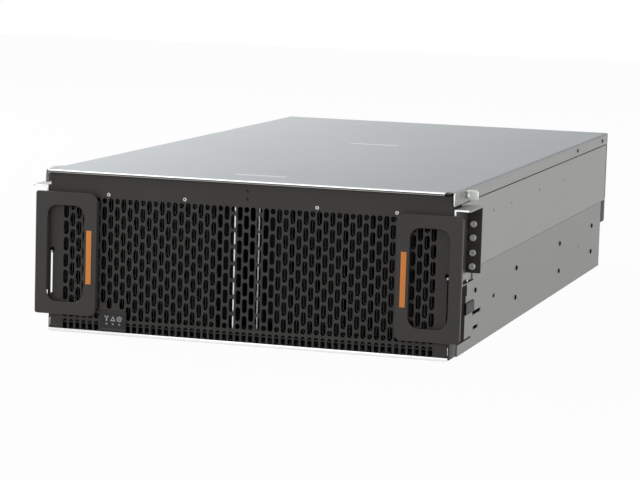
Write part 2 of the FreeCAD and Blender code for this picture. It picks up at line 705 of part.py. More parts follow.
def rack_screws():
    """Screws with a short shoulder inside the ear and a plain stud behind it."""
    master = turned_screw("rack_screw_master", [
        ("-rack_screw_head", "0"), ("-rack_screw_head", "rack_screw_head_r"),
        ("0", "rack_screw_head_r"), ("0", "rack_screw_shoulder"),
        ("ear_sheet", "rack_screw_shoulder"), ("ear_sheet", "rack_screw_r"),
        ("ear_sheet + rack_screw_length", "rack_screw_r"),
        ("ear_sheet + rack_screw_length", "0")])
    spots = [(side + "ear_hole_x", "-ear_sheet", z)
             for side in ("", "-") for z in ear_heights()]
    return copies("rack_screws", master, spots)


handle_right, ear_right = handle(), ear()
strip = box("handle_strip_right",
            ("strip_x - strip_width / 2", "handle_front - strip_thick",
             "(handle_bottom + handle_top - strip_length) / 2 - strip_below"),
            ("strip_width", "strip_thick", "strip_length"))
keep(handle_right, mirror("handle_left", handle_right))
keep(strip, mirror("handle_strip_left", strip))
keep(ear_right, mirror("ear_left", ear_right), rack_screws())


def rail_lock():
    key = box("lock_key", ("half - steel - fit - steel", "lock_front", "lock_bottom"),
              ("2 * steel + fit + lock_proud", "lock_length", "lock_height"))
    flange = box("lock_back", ("half - steel - fit - steel", "lock_front - lock_flange",
                               "lock_bottom - lock_flange"),
                 ("steel", "lock_length + 2 * lock_flange", "lock_height + 2 * lock_flange"))
    return fuse("rail_lock_right", [key, flange])


lock = rail_lock()
keep(lock, mirror("rail_lock_left", lock))


# ---------------------------------------------------------------- cover
def top_cover():
    """Top sheet with its short front fold."""
    sheet = box("cover_sheet", ("-half", "cover_front", "body_height - steel"),
                ("body_width", "cover_length", "steel"))
    fold = box("cover_front_fold", ("-half", "cover_front", "body_height - cover_front_lip"),
               ("body_width", "steel", "cover_front_lip - steel / 2"))
    return fuse("top_cover", [sheet, fold])


def cover_side():
    """Side fold of the cover, kept as a piece of its own because it is a plain strip."""
    return box("cover_side_right", ("half - steel", "cover_front + cover_corner_relief",
                                    "lip_bottom"),
               ("steel", "cover_length - cover_corner_relief", "cover_lip - steel"))


def cover_rivets():
    """Low rivet heads on the cover's side lips."""
    heads = []
    for side, x in (("right", "half"), ("left", "-half - rivet_head")):
        for y in ("rivet_front", "rivet_rear"):
            heads.append(rod("%s_%s" % (y, side), "x", (x, y, "rivet_height"), "rivet_r",
                             "rivet_head"))
    return group("cover_rivets", heads)


def latch_base():
    plate = box("latch_plate_blank", ("half", "latch_front", "lip_bottom"),
                ("steel", "latch_plate", "latch_top - lip_bottom"))
    lugs = []
    for name, z in (("low", "tab_bottom + barrel_r"), ("high", "tab_top - barrel_r - lug")):
        lugs.append(box("latch_lug_" + name, ("half", "pin_y - barrel_r", z),
                        ("steel + pin_out", "2 * barrel_r", "lug")))
        lugs.append(rod("latch_lug_end_" + name, "z", ("pin_x", "pin_y", z), "barrel_r", "lug"))
    pin = rod("latch_pin", "z", ("pin_x", "pin_y", "tab_bottom + barrel_r"), "pin_r",
              "tab_top - tab_bottom - 2 * barrel_r")
    return fuse("latch_base_right", [plate] + lugs + [pin])


def latch_tab():
    """Upright finger tab that faces the front, with a dished pad."""
    paddle = body("tab_paddle")
    sketch = sketch_on(paddle, "XZ", "tab_outline")
    rounded(sketch, "pin_x + barrel_r + fit", "tab_bottom", "half + tab_reach", "tab_top", "tab_corner")
    pad(paddle, sketch, "tab_thick", backwards=True)
    dish = sketch_on(paddle, "XZ", "tab_dish")
    rounded(dish, "pin_x + barrel_r + fit + tab_rim / 2", "tab_bottom + tab_rim", "half + tab_reach - tab_rim",
            "tab_top - tab_rim", "tab_rim")
    pocket(paddle, dish, "tab_dish", backwards=True)
    bind(paddle, "Placement.Base.y", "pin_y - tab_thick / 2")
    low, high = "tab_bottom + barrel_r + lug + fit", "tab_top - barrel_r - lug - fit"
    barrel = rod("tab_barrel", "z", ("pin_x", "pin_y", low), "barrel_r",
                 "(%s) - (%s)" % (high, low))
    neck = box("tab_neck", ("pin_x", "pin_y - tab_thick / 2", low),
               ("barrel_r + 1", "tab_thick", "(%s) - (%s)" % (high, low)))
    bore = rod("tab_bore", "z", ("pin_x", "pin_y", "tab_bottom"), "pin_r + running",
               "tab_top - tab_bottom")
    return cut("latch_tab_right", fuse("tab_solid", [paddle, barrel, neck]), [bore])


base_right, tab_right = latch_base(), latch_tab()
side_right = cover_side()
keep(top_cover(), side_right, mirror("cover_side_left", side_right), cover_rivets())
keep(base_right, mirror("latch_base_left", base_right))
keep(tab_right, mirror("latch_tab_left", tab_right))


# ---------------------------------------------------------------- rear bay
def bulkhead():
    plate = box("bulkhead_plate", ("-inner_half + fit", "bulkhead_y", "steel"),
                ("2 * (inner_half - fit)", "steel", "wall_top - steel - fit"))
    windows = []
    for k in range(4):
        x = "-2 * fan_pitch + %d * fan_pitch + bulkhead_bar / 2" % k
        windows.append(box("bulkhead_upper_%d" % k, (x, "bulkhead_y - 1", "shelf_height + 16"),
                           ("fan_pitch - bulkhead_bar", "steel + 2", "wall_top - shelf_height - 32")))
        windows.append(box("bulkhead_lower_%d" % k, (x, "bulkhead_y - 1", "12"),
                           ("fan_pitch - bulkhead_bar", "steel + 2", "shelf_height - 22")))
    return cut("bulkhead", plate, windows)


BAY_LENGTH = "lower_end - bulkhead_y - steel"
shelf = box("bay_shelf", ("-half + steel + fit", "bulkhead_y + steel", "shelf_height"),
            ("2 * (half - steel - fit)", BAY_LENGTH, "steel"))
dividers = [box("bay_divider_%d" % k,
                ("-half + steel + %d * (bay_width + steel) - steel" % k, "bulkhead_y + steel",
                 "steel"),
                ("steel", BAY_LENGTH, "shelf_height - steel")) for k in (1, 2, 3)]
keep(bulkhead(), shelf, group("bay_dividers", dividers))

def module_x(bay):
    return "-half + steel + %d * (bay_width + steel) + fit" % bay


def module_tub(label, bay, openings):
    """Thin housing, open towards the drives, with openings through its rear face."""
    x, low = module_x(bay), "steel + fit"
    front = "bulkhead_y + steel + module_gap"
    depth = "module_rear - (%s)" % front
    width, tall = "bay_width - 2 * fit", "shelf_height - steel - 2 * fit"
    outer = box(label + "_outer", (x, front, low), (width, depth, tall))
    inner = box(label + "_inner", (x + " + steel", front + " - 1", low + " + steel"),
                (width + " - 2 * steel", depth + " - steel + 1", tall + " - 2 * steel"))
    return cut(label, outer, [inner] + openings)


def power_supply(side, bay):
    """Housing with air slots, a mains inlet, a fixed loop handle and a side latch."""
    x, rear, mid = module_x(bay), "module_rear", module_x(bay) + " + bay_width / 2"
    slots = [box("psu_slot_%s_%d" % (side, i),
                 (mid + " - 5 + %d * psu_slot_pitch" % i, rear + " - 2 * steel", "10 * steel"),
                 ("psu_slot_width", "4 * steel", "release_height + 6")) for i in range(6)]
    window = box("psu_window_" + side, (x + " + 10 * steel", rear + " - 2 * steel", "14"),
                 ("inlet_width", "4 * steel", "inlet_height"))
    housing = module_tub("psu_" + side, bay, slots + [window])
    cup = box("inlet_cup_" + side, (x + " + 10 * steel + fit", rear + " - 20", "14 + fit"),
              ("inlet_width - 2 * fit", "20", "inlet_height - 2 * fit"))
    flange = box("inlet_flange_" + side, (x + " + 10 * steel - 3", rear, "11"),
                 ("inlet_width + 6", "1.6", "inlet_height + 6"))
    recess = box("inlet_recess_" + side, (x + " + 10 * steel + 2.5", rear + " - 17", "16.5"),
                 ("inlet_width - 5", "20", "inlet_height - 5"))
    blades = [box("inlet_blade_%s_%d" % (side, i),
                  (x + " + 10 * steel + inlet_width / 2 + %g" % bx, rear + " - 17.5", str(bz)),
                  ("2", "14", "5")) for i, (bx, bz) in enumerate(((-8, 19), (-1, 24), (6, 19)))]
    inlet = fuse("psu_inlet_" + side,
                 [cut("inlet_hollow_" + side, fuse("inlet_body_" + side, [cup, flange]), [recess])]
                 + blades)
    grip = body("psu_handle_" + side)
    sketch = sketch_on(grip, "XY", "grip_outline_" + side)
    inside, across = "grip_reach - grip_bar", "grip_length - grip_bar"
    outline(sketch, [("0", "0"), ("grip_bar", "0"), ("grip_bar", inside), (across, inside),
                     (across, "0"), ("grip_length", "0"), ("grip_length", "grip_reach"),
                     ("0", "grip_reach")])
    pad(grip, sketch, "grip_height")
    place(grip, mid + " - 4", rear, "shelf_height - 2 * grip_height")
    latch = box("psu_latch_" + side, (x + " + bay_width - 2 * fit - 14.65", rear, "14"),
                ("release_size", "release_size", "release_height"))
    return housing, inlet, grip, latch


def io_module(side, bay):
    """Housing with a cage of three cable sockets and a cam lever along its foot."""
    x, rear = module_x(bay), "module_rear"
    pivot_x, pivot_y = x + " + 2 * cam_width", rear + " + cam_width"
    foot = "steel + fit + steel + cam_pin_r + fit"
    lugs = [box("io_lug_%s_%s" % (side, name), (x + " + cam_width", rear + " - steel", z),
                ("2 * cam_width", "2 * cam_width + steel", "2"))
            for name, z in (("low", foot + " - 2"), ("high", foot + " + cam_height + 2 * fit"))]
    pin = rod("io_pin_" + side, "z", (pivot_x, pivot_y, foot + " - 1"), "cam_pin_r",
              "cam_height + 2 * fit + 2")
    housing = fuse("io_module_" + side, [module_tub("io_tub_" + side, bay, [])] + lugs + [pin])
    cage_x = x + " + (bay_width - cage_width) / 2"
    cage = box("port_block_" + side, (cage_x, rear, "30"), ("cage_width", "9", "port_height + 6"))
    ports = [box("port_%s_%d" % (side, i),
                 (cage_x + " + 2 + %d * port_pitch" % i, rear + " + 1.5", "33"),
                 ("port_width", "10", "port_height")) for i in range(3)]
    low = foot + " + fit"
    arm = box("lever_arm_" + side, (pivot_x, pivot_y + " - cam_width / 2", low),
              ("bay_width - 5 * cam_width", "cam_width", "cam_height"))
    hub = rod("lever_hub_" + side, "z", (pivot_x, pivot_y, low), "cam_hub_r", "cam_height")
    bore = rod("lever_bore_" + side, "z", (pivot_x, pivot_y, foot), "cam_pin_r + running",
               "cam_height + 3")
    lever_arm = cut("io_lever_" + side, fuse("lever_solid_" + side, [arm, hub]), [bore])
    return housing, cut("io_ports_" + side, cage, ports), lever_arm


for side, bay in (("left", 0), ("right", 3)):
    keep(*power_supply(side, bay))
for side, bay in (("left", 1), ("right", 2)):
    keep(*io_module(side, bay))


def fan_centre(k):
    return ("(%d - 1.5) * fan_pitch" % k, "fan_bottom + fan_height / 2")


def fan_module(k):
    """Square frame with a round bore; the motor seat hangs on a cross at the rear."""
    name = "fan_module_%d" % (k + 1)
    x, z = fan_centre(k)
    frame = box(name + "_frame", ("%s - fan_pitch / 2 + fit" % x, "fan_front", "fan_bottom"),
                ("fan_pitch - 2 * fit", "fan_depth", "fan_height"))
    bore = rod(name + "_bore", "y", (x, "fan_front - 1", z), "fan_bore", "fan_depth + 2")
    reach = "fan_bore + fan_rim / 5"
    seat_y = "upper_end - seat_depth"
    cross = [box(name + "_spoke_a", ("%s - (%s)" % (x, reach), seat_y, z + " - seat_depth / 4"),
                 ("2 * (%s)" % reach, "seat_depth / 2", "seat_depth / 2")),
             box(name + "_spoke_b", (x + " - seat_depth / 4", seat_y, "%s - (%s)" % (z, reach)),
                 ("seat_depth / 2", "seat_depth / 2", "2 * (%s)" % reach))]
    seat = rod(name + "_seat", "y", (x, seat_y, z), "fan_hub", "seat_depth / 2")
    socket = rod(name + "_socket", "y", (x, seat_y + " - 1", z), "fan_shaft_r + running",
                 "seat_depth / 2 + 2")
    hollow = cut(name + "_hollow", frame, [bore])
    return cut(name, fuse(name + "_solid", [hollow] + cross + [seat]), [socket])


def fan_rotor(k):
    """Hub with pitched blades and the shaft that turns in the motor seat."""
    name = "fan_rotor_%d" % (k + 1)
    x, z = fan_centre(k)
    front = "upper_end - seat_depth - fit - rotor_length"
    hub = rod(name + "_hub", "y", (x, front, z), "fan_hub - 1", "rotor_length")
    shaft = rod(name + "_shaft", "y", (x, front + " + rotor_length - 1", z), "fan_shaft_r",
                "1 + fit + seat_depth / 2")
    blades = []
    count = int(size("fan_blades"))
    for i in range(count):
        blade = doc.addObject("Part::Box", "%s_blade_%d" % (name, i))
        bind(blade, "Length", "fan_bore - fan_hub - fan_tip_gap / 2")
        bind(blade, "Width", "blade_width")
        bind(blade, "Height", "blade_thick")
        out = FreeCAD.Rotation(V(0, 1, 0), 360.0 / count * i)
        pitch = FreeCAD.Rotation(V(1, 0, 0), size("blade_angle"))
        blade.Placement.Rotation = out.multiply(pitch)
        root = out.multVec(V(1, 0, 0))
        shift = out.multiply(pitch).multVec(V(0, -size("blade_width") / 2,
                                              -size("blade_thick") / 2))
        bind(blade, "Placement.Base.x", "%s + %.6f * (fan_hub - 2) + %.6f" % (x, root.x, shift.x))
        bind(blade, "Placement.Base.y", "%s + rotor_length / 2 + %.6f" % (front, shift.y))
        bind(blade, "Placement.Base.z", "%s + %.6f * (fan_hub - 2) + %.6f" % (z, root.z, shift.z))
        blades.append(blade)
    return fuse(name, [hub, shaft] + blades)


for k in range(4):
    keep(fan_module(k), fan_rotor(k))

# ---------------------------------------------------------------- check and write
doc.recompute()
faults = [obj.Label for obj in doc.Objects if {"Invalid", "Error"} & set(obj.State)]
for piece in pieces:
    shape = piece.Shape
    if shape.isNull() or not shape.isValid() or not shape.Solids:
        faults.append(piece.Label)
if faults:
    raise RuntimeError("failed: " + ", ".join(faults))
os.makedirs("parts", exist_ok=True)
for piece in pieces:
    piece.Shape.exportStep("parts/%s.step" % piece.Label)
print(len(pieces), "nodes,", sum(len(piece.Shape.Solids) for piece in pieces), "solids")
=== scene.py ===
import math

import bmesh
import bpy
from mathutils import Matrix, Vector


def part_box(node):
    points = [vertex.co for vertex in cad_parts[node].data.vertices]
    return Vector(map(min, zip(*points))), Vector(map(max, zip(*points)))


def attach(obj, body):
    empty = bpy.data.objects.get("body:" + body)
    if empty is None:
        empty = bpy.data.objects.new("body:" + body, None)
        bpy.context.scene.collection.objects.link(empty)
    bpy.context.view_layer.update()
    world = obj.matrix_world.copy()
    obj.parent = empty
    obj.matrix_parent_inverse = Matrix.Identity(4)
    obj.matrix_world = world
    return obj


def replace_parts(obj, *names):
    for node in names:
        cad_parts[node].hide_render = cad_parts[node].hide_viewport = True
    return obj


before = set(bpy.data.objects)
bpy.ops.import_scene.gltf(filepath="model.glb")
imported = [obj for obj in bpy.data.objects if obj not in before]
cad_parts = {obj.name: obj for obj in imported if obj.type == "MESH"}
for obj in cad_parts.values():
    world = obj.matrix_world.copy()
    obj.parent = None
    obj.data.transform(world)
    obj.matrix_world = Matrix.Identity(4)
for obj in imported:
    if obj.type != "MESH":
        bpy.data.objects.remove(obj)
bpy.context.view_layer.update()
MM = 0.001                  # shapes are given in millimetres


# ------------------------------------------------------------------ shader arithmetic
class Field:
    """A number that varies over a surface; arithmetic on it adds Math nodes."""

    def __init__(self, finish, socket):
        self.finish = finish
        self.socket = socket

    def _math(self, operation, *values):
        return self.finish.node("ShaderNodeMath", {"operation": operation}, dict(enumerate(values)))

    def __add__(self, other):
        return self._math("ADD", self, other)

    def __rsub__(self, other):
        return self._math("SUBTRACT", other, self)

    def __mul__(self, other):
        return self._math("MULTIPLY", self, other)

    def over(self, level, width):
        """0 below a level and 1 above it, with a soft step of that width."""
        return self.finish.node(
            "ShaderNodeMapRange", {"clamp": True},
            {0: self, 1: level - width / 2, 2: level + width / 2, 3: 0.0, 4: 1.0})

    __radd__ = __add__
    __rmul__ = __mul__


class Finish:
    """One material, built from a Principled shader and fields on Object coordinates."""

    def __init__(self, name, **constants):
        self.material = bpy.data.materials.new(name)
        self.material.use_nodes = True
        self.tree = self.material.node_tree
        self.shader = self.tree.nodes["Principled BSDF"]
        for socket, value in constants.items():
            self.shader.inputs[socket.replace("_", " ")].default_value = value
        self.place = self.node("ShaderNodeTexCoord", {}, {}, "Object")

    def node(self, kind, settings, values, output=0):
        """Any node: its settings first, then the values or links of its sockets."""
        made = self.tree.nodes.new(kind)
        for key, value in settings.items():
            setattr(made, key, value)
        for key, value in values.items():
            if isinstance(value, Field):
                self.tree.links.new(value.socket, made.inputs[key])
            else:
                made.inputs[key].default_value = value
        return Field(self, made.outputs[output])

    def grain(self, scale, detail=2.0, roughness=0.5, stretch=(1, 1, 1)):
        """Noise from 0 to 1; scale is in features per metre."""
        place = self.node("ShaderNodeMapping", {}, {"Vector": self.place, "Scale": stretch})
        return self.node("ShaderNodeTexNoise", {}, {
            "Vector": place, "Scale": scale, "Detail": detail, "Roughness": roughness})

    def cells(self, scale, stretch):
        """A random level for each cell of a stretched pattern."""
        place = self.node("ShaderNodeMapping", {}, {"Vector": self.place, "Scale": stretch})
        return self.node("ShaderNodeTexVoronoi", {}, {"Vector": place, "Scale": scale}, "Color")

    def blend(self, amount, first, second):
        """Colour between two colours; sockets 6, 7 and output 2 are the colour ones."""
        return self.node("ShaderNodeMix", {"data_type": "RGBA"}, {
            0: amount, 6: (*first, 1.0), 7: (*second, 1.0)}, 2)

    def bump(self, height, strength, distance):
        """Raises the surface by a field; distance is in metres."""
        normal = self.node("ShaderNodeBump", {}, {
            "Height": height, "Strength": strength, "Distance": distance})
        self.tree.links.new(normal.socket, self.shader.inputs["Normal"])
        return self

    def link(self, socket, field):
        """Drives one input of the Principled shader with a field."""
        self.tree.links.new(field.socket, self.shader.inputs[socket])


def shade(value):
    """Linear level of a display level from 0 to 255."""
    level = value / 255
    return level / 12.92 if level <= 0.04045 else ((level + 0.055) / 1.055) ** 2.4


def tint(red, green, blue):
    """Linear colour of three display levels."""
    return (shade(red), shade(green), shade(blue))


# ------------------------------------------------------------------ finishes
def zinc(name, light, dark, rough=0.42, metal=0.55, shine=0.5):
    """Zinc-plated sheet: faint rolling streaks along its length and a cloudy patina."""
    finish = Finish(name, Metallic=metal, Specular_IOR_Level=shine)
    streaks = finish.grain(90, 3, 0.6, (1.0, 0.06, 1.0))
    clouds = finish.grain(9, 4, 0.55)
    fine = finish.grain(1400, 2, 0.6)
    tone = streaks * 0.35 + clouds * 0.45 + fine * 0.2
    finish.link("Base Color", finish.blend(tone.over(0.5, 0.5), dark, light))
    finish.link("Roughness", clouds * 0.12 + fine * 0.05 + (rough - 0.08))
    return finish.bump(fine * 0.6 + streaks * 0.4, 0.12, 0.00015).material


def paint(name, light, dark, rough=0.5):
    """Powder paint with a fine orange-peel texture."""
    finish = Finish(name, Specular_IOR_Level=0.25)
    peel = finish.grain(1100, 2, 0.55)
    specks = finish.grain(3200, 1, 0.5)
    clouds = finish.grain(14, 3, 0.5)
    finish.link("Base Color", finish.blend((peel * 0.5 + clouds * 0.5).over(0.5, 0.5), dark, light))
    finish.link("Roughness", peel * 0.14 + clouds * 0.08 + (rough - 0.1))
    return finish.bump(peel * 0.7 + specks * 0.3, 0.35, 0.00012).material


def moulded(name, light, dark, rough=0.45, shine=0.5):
    """Moulded plastic with a fine spark-eroded grain."""
    finish = Finish(name, Specular_IOR_Level=shine)
    grain = finish.grain(2600, 2, 0.6)
    wear = finish.grain(30, 3, 0.6)
    finish.link("Base Color", finish.blend(grain * 0.4 + wear * 0.6, dark, light))
    finish.link("Roughness", grain * 0.12 + wear * 0.08 + (rough - 0.1))
    return finish.bump(grain, 0.25, 0.00008).material


def plated(name, light, dark, rough=0.28):
    """Bright plated steel with turning marks."""
    finish = Finish(name, Metallic=0.9)
    marks = finish.grain(900, 3, 0.6, (1, 4, 1))
    clouds = finish.grain(120, 2, 0.5)
    finish.link("Base Color", finish.blend(marks * 0.5 + clouds * 0.5, dark, light))
    finish.link("Roughness", marks * 0.14 + clouds * 0.1 + (rough - 0.1))
    return finish.bump(marks, 0.1, 0.00005).material


def gloss_film(name, light, dark):
    """Glossy film over dark plastic."""
    finish = Finish(name, Coat_Roughness=0.3, Specular_IOR_Level=0.2)
    dust = finish.grain(600, 3, 0.7)
    finish.link("Base Color", finish.blend(dust.over(0.62, 0.2), dark, light))
    finish.link("Roughness", dust * 0.1 + 0.3)
    finish.link("Coat Weight", 0.2 - dust * 0.1)
    return finish.bump(dust, 0.05, 0.00003).material


def board(name, light, dark):
    """Solder mask over fine copper tracks."""
    finish = Finish(name)
    tracks = finish.cells(260, (1, 0.2, 1))
    finish.link("Base Color", finish.blend(tracks, dark, light))
    finish.link("Roughness", finish.grain(500) * 0.1 + 0.3)
    return finish.material


SHEET = zinc("zinc_sheet", tint(184, 184, 181), tint(174, 174, 170), metal=0.12, shine=0.2)
# Darker copy of the zinc sheet on the lower side: painted shade.
TRAY_SHADE = zinc("tray_zinc_painted_shade", tint(168, 168, 165), tint(156, 156, 152), metal=0.12, shine=0.2)
COVER = zinc("cover_sheet", tint(198, 202, 204), tint(190, 194, 196), metal=0.12, shine=0.0)
# Zinc made far darker than the outer sheet: painted shade inside the closed case and in recesses.
INNER_SHADE = zinc("inner_sheet_painted_shade", tint(74, 74, 73), tint(52, 52, 51),
             rough=0.5, metal=0.2, shine=0.1)
BEZEL = paint("bezel_paint", tint(72, 70, 68), tint(60, 58, 56))
GRIP = paint("handle_paint", tint(75, 73, 71), tint(65, 63, 61), rough=0.46)
# Near-black for the liner behind the slots, the slit wells, the side rivets and the side gaps:
# painted shade.
SHADE_BLACK = moulded("black_painted_shade", tint(7, 7, 7), tint(3, 3, 3), rough=0.7, shine=0.05)
# Mid grey: painted glints on the liner rims, painted shade in the side dimples, and the lens rings'
# own grey.
MID_GREY_GLINT_AND_SHADE = zinc("mid_grey_painted_glint_and_shade", tint(104, 102, 100), tint(60, 59, 58), rough=0.4, metal=0.4)
# Near-white, almost unmetallic heads, lighter than plating: painted highlight on heads lying in the
# handles' shade.
HEAD_HIGHLIGHT = zinc("head_zinc_painted_highlight", tint(250, 250, 248), tint(214, 215, 213), rough=0.35, metal=0.1)
# Paler than the cover: painted highlight on the pressed ribs.
PRESSED_HIGHLIGHT = zinc("pressed_painted_highlight", tint(232, 236, 238), tint(220, 224, 226), metal=0.1, shine=0.0)
SCREW = plated("screw_plating", tint(214, 214, 212), tint(168, 168, 166))
TAB = plated("latch_plating", tint(222, 225, 222), tint(190, 194, 191), rough=0.4)
# Near-white bare edges: painted highlights on the cover hem, latch rims, ear edges, beam edges and
# tray lip.
EDGE_HIGHLIGHT = plated("bare_edge_painted_highlight", tint(250, 251, 250), tint(226, 229, 230), rough=0.34)
ORANGE = moulded("touch_orange", tint(255, 160, 76), tint(250, 146, 62), rough=0.5)
BLACK = moulded("black_moulding", tint(48, 48, 48), tint(30, 30, 31), shine=0.15)
BLUE = moulded("release_blue", tint(52, 92, 150), tint(40, 76, 130), rough=0.4)
# Very dark drives: dark carriers, darkened further as painted shade inside the closed case.
DRIVE_DARK_AND_SHADE = zinc("drive_dark_casting_and_painted_shade", tint(40, 41, 43), tint(22, 23, 24),
             rough=0.45, metal=0.2, shine=0.1)
BOARD = board("backplane_mask", tint(30, 74, 44), tint(16, 50, 28))
PANEL = gloss_film("panel_film", tint(58, 56, 55), tint(46, 44, 43))
LENS = moulded("lens_clear", tint(206, 212, 210), tint(176, 184, 182), rough=0.2)

FINISHES = {
    TRAY_SHADE: ["base_tray"],
    SHEET: ["side_wall_left", "side_wall_right", "latch_base_left", "latch_base_right",
            "psu_left", "psu_right", "io_module_left", "io_module_right"],
    COVER: ["top_cover", "cover_side_left", "cover_side_right"],
    INNER_SHADE: ["front_beam", "drive_deck", "centre_beam", "row_walls", "bulkhead", "bay_shelf",
            "bay_dividers"],
    BEZEL: ["front_bezel"],
    GRIP: ["handle_left", "handle_right", "ear_left", "ear_right"],
    SCREW: ["bezel_screws", "rack_screws", "cover_rivets", "io_ports_left", "io_ports_right",
            "psu_handle_left", "psu_handle_right"],
    TAB: ["latch_tab_left", "latch_tab_right"],
    ORANGE: ["handle_strip_left", "handle_strip_right"],
    BLACK: ["drive_connectors", "drive_levers", "psu_inlet_left", "psu_inlet_right",
            "rail_lock_left", "rail_lock_right"]
           + ["fan_module_%d" % k for k in (1, 2, 3, 4)]
           + ["fan_rotor_%d" % k for k in (1, 2, 3, 4)],
    BLUE: ["psu_latch_left", "psu_latch_right", "io_lever_left", "io_lever_right"],
    DRIVE_DARK_AND_SHADE: ["drives_row_%d" % k for k in (1, 2, 3, 4, 5)],
    BOARD: ["backplane"],
    PANEL: ["status_panel"],
    LENS: ["status_lenses"],
}


def dress(node, material):
    """Gives a CAD node its finish."""
    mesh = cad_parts[node].data
    mesh.materials.clear()
    mesh.materials.append(material)


for material, nodes in FINISHES.items():
    for node in nodes:
        dress(node, material)


def soften(node, width):
    """Small rounded edge on a CAD node, so that its corners catch the light."""
    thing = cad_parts[node]
    weld = thing.modifiers.new("weld", "WELD")
    weld.merge_threshold = 0.01 * MM
    bevel = thing.modifiers.new("edge", "BEVEL")
    bevel.width = width * MM
    bevel.segments = 2
    bevel.limit_method = "ANGLE"
    bevel.angle_limit = math.radians(40)
    bevel.use_clamp_overlap = False


# ------------------------------------------------------------------ making pieces
def finish_piece(name, mesh, body, material, smooth=35):
    """Turns a mesh in millimetres into a piece that rides on a body; folds sharper than
    smooth, in degrees, stay sharp."""
    mesh.transform(Matrix.Scale(MM, 4))
    mesh.shade_smooth()
    mesh.set_sharp_from_angle(angle=math.radians(smooth))
    mesh.materials.append(material)
    thing = bpy.data.objects.new(name, mesh)
    bpy.context.scene.collection.objects.link(thing)
    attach(thing, body)
    return thing


class Work:
    """A bmesh in millimetres to which shapes are added one by one."""

    def __init__(self):
        self.bm = bmesh.new()

    def sheet(self, *outline):
        """Adds a cut sheet; the arguments are those of cut_sheet after its name."""
        mesh = cut_sheet("sheet", *outline)
        self.bm.from_mesh(mesh)
        bpy.data.meshes.remove(mesh)

    def slab(self, low, high, edge=0.0, segments=2):
        """Block between two corners, with rounded edges."""
        made = bmesh.ops.create_cube(self.bm, size=1.0)["verts"]
        low, high = Vector(low), Vector(high)
        bmesh.ops.scale(self.bm, vec=high - low, verts=made)
        bmesh.ops.translate(self.bm, vec=(low + high) / 2, verts=made)
        if edge:
            edges = list({e for v in made for e in v.link_edges})
            bmesh.ops.bevel(self.bm, geom=edges, offset=edge, segments=segments,
                            affect="EDGES", profile=0.5, material=-1)

    def turned(self, profile, centre, along, steps=24):
        """Shape turned about an axis; profile is (distance along the axis, radius)."""
        axis = {"x": Vector((1, 0, 0)), "y": Vector((0, 1, 0)), "z": Vector((0, 0, 1))}[along]
        out = Vector((0, 0, 1)) if along != "z" else Vector((1, 0, 0))
        centre = Vector(centre)
        chain = [self.bm.verts.new(centre + axis * d + out * r) for d, r in profile]
        edges = [self.bm.edges.new(pair) for pair in zip(chain, chain[1:])]
        bmesh.ops.spin(self.bm, geom=chain + edges, cent=centre, axis=axis,
                       angle=math.tau, steps=steps, use_merge=True, dvec=(0, 0, 0))
        bmesh.ops.remove_doubles(self.bm, verts=self.bm.verts, dist=0.0005)
        bmesh.ops.recalc_face_normals(self.bm, faces=self.bm.faces)

    def prism(self, points, along, start, length):
        """Closed outline given in the plane across an axis, pushed along that axis."""
        spots = {"x": lambda a, b: (start, a, b), "y": lambda a, b: (a, start, b),
                 "z": lambda a, b: (a, b, start)}[along]
        corners = [self.bm.verts.new(spots(a, b)) for a, b in points]
        face = self.bm.faces.new(corners)
        made = bmesh.ops.extrude_face_region(self.bm, geom=[face])["geom"]
        verts = [g for g in made if isinstance(g, bmesh.types.BMVert)]
        step = {"x": (length, 0, 0), "y": (0, length, 0), "z": (0, 0, length)}[along]
        bmesh.ops.translate(self.bm, vec=step, verts=verts)
        shell = list({f for v in verts + corners for f in v.link_faces})
        bmesh.ops.recalc_face_normals(self.bm, faces=shell)

    def mirrored(self):
        """Adds a copy on the other side of the middle plane."""
        everything = self.bm.verts[:] + self.bm.edges[:] + self.bm.faces[:]
        copy = bmesh.ops.duplicate(self.bm, geom=everything)["geom"]
        verts = [g for g in copy if isinstance(g, bmesh.types.BMVert)]
        faces = [g for g in copy if isinstance(g, bmesh.types.BMFace)]
        bmesh.ops.scale(self.bm, vec=(-1, 1, 1), verts=verts)
        bmesh.ops.reverse_faces(self.bm, faces=faces)

    def flipped(self):
        """Moves everything to the other side of the middle plane."""
        bmesh.ops.scale(self.bm, vec=(-1, 1, 1), verts=self.bm.verts)
        bmesh.ops.reverse_faces(self.bm, faces=self.bm.faces)

    def piece(self, name, body, material, slot, smooth=35):
        """Ends the work: what was added becomes one piece."""
        mesh = bpy.data.meshes.new(name)
        self.bm.to_mesh(mesh)
        self.bm.free()
        return finish_piece(name, mesh, body, material, smooth)


def cut_sheet(name, border, holes, across, start, thick, edge=0.0):
    """Sheet with cut openings; outlines are (x, z) across the Y axis, (y, z) across X
    and (x, y) across Z, in millimetres."""
    curve = bpy.data.curves.new(name, "CURVE")
    curve.dimensions = "2D"
    curve.fill_mode = "BOTH"
    curve.extrude = thick / 2 - edge
    curve.bevel_depth = edge
    curve.bevel_resolution = 0
    curve.offset = -edge
    for points in [border] + holes:
        spline = curve.splines.new("POLY")
        spline.points.add(len(points) - 1)
        for point, (a, b) in zip(spline.points, points):
            point.co = (a, b, 0, 1)
        spline.use_cyclic_u = True
    holder = bpy.data.objects.new(name, curve)
    bpy.context.scene.collection.objects.link(holder)
    graph = bpy.context.evaluated_depsgraph_get()
    mesh = bpy.data.meshes.new_from_object(holder.evaluated_get(graph))
    bpy.data.objects.remove(holder)
    mesh.name = name
    middle = start + thick / 2
    turn = {"y": ((1, 0, 0, 0), (0, 0, -1, middle), (0, 1, 0, 0), (0, 0, 0, 1)),
            "x": ((0, 0, 1, middle), (1, 0, 0, 0), (0, 1, 0, 0), (0, 0, 0, 1)),
            "z": ((1, 0, 0, 0), (0, 1, 0, 0), (0, 0, 1, middle), (0, 0, 0, 1))}[across]
    mesh.transform(Matrix(turn))
    return mesh


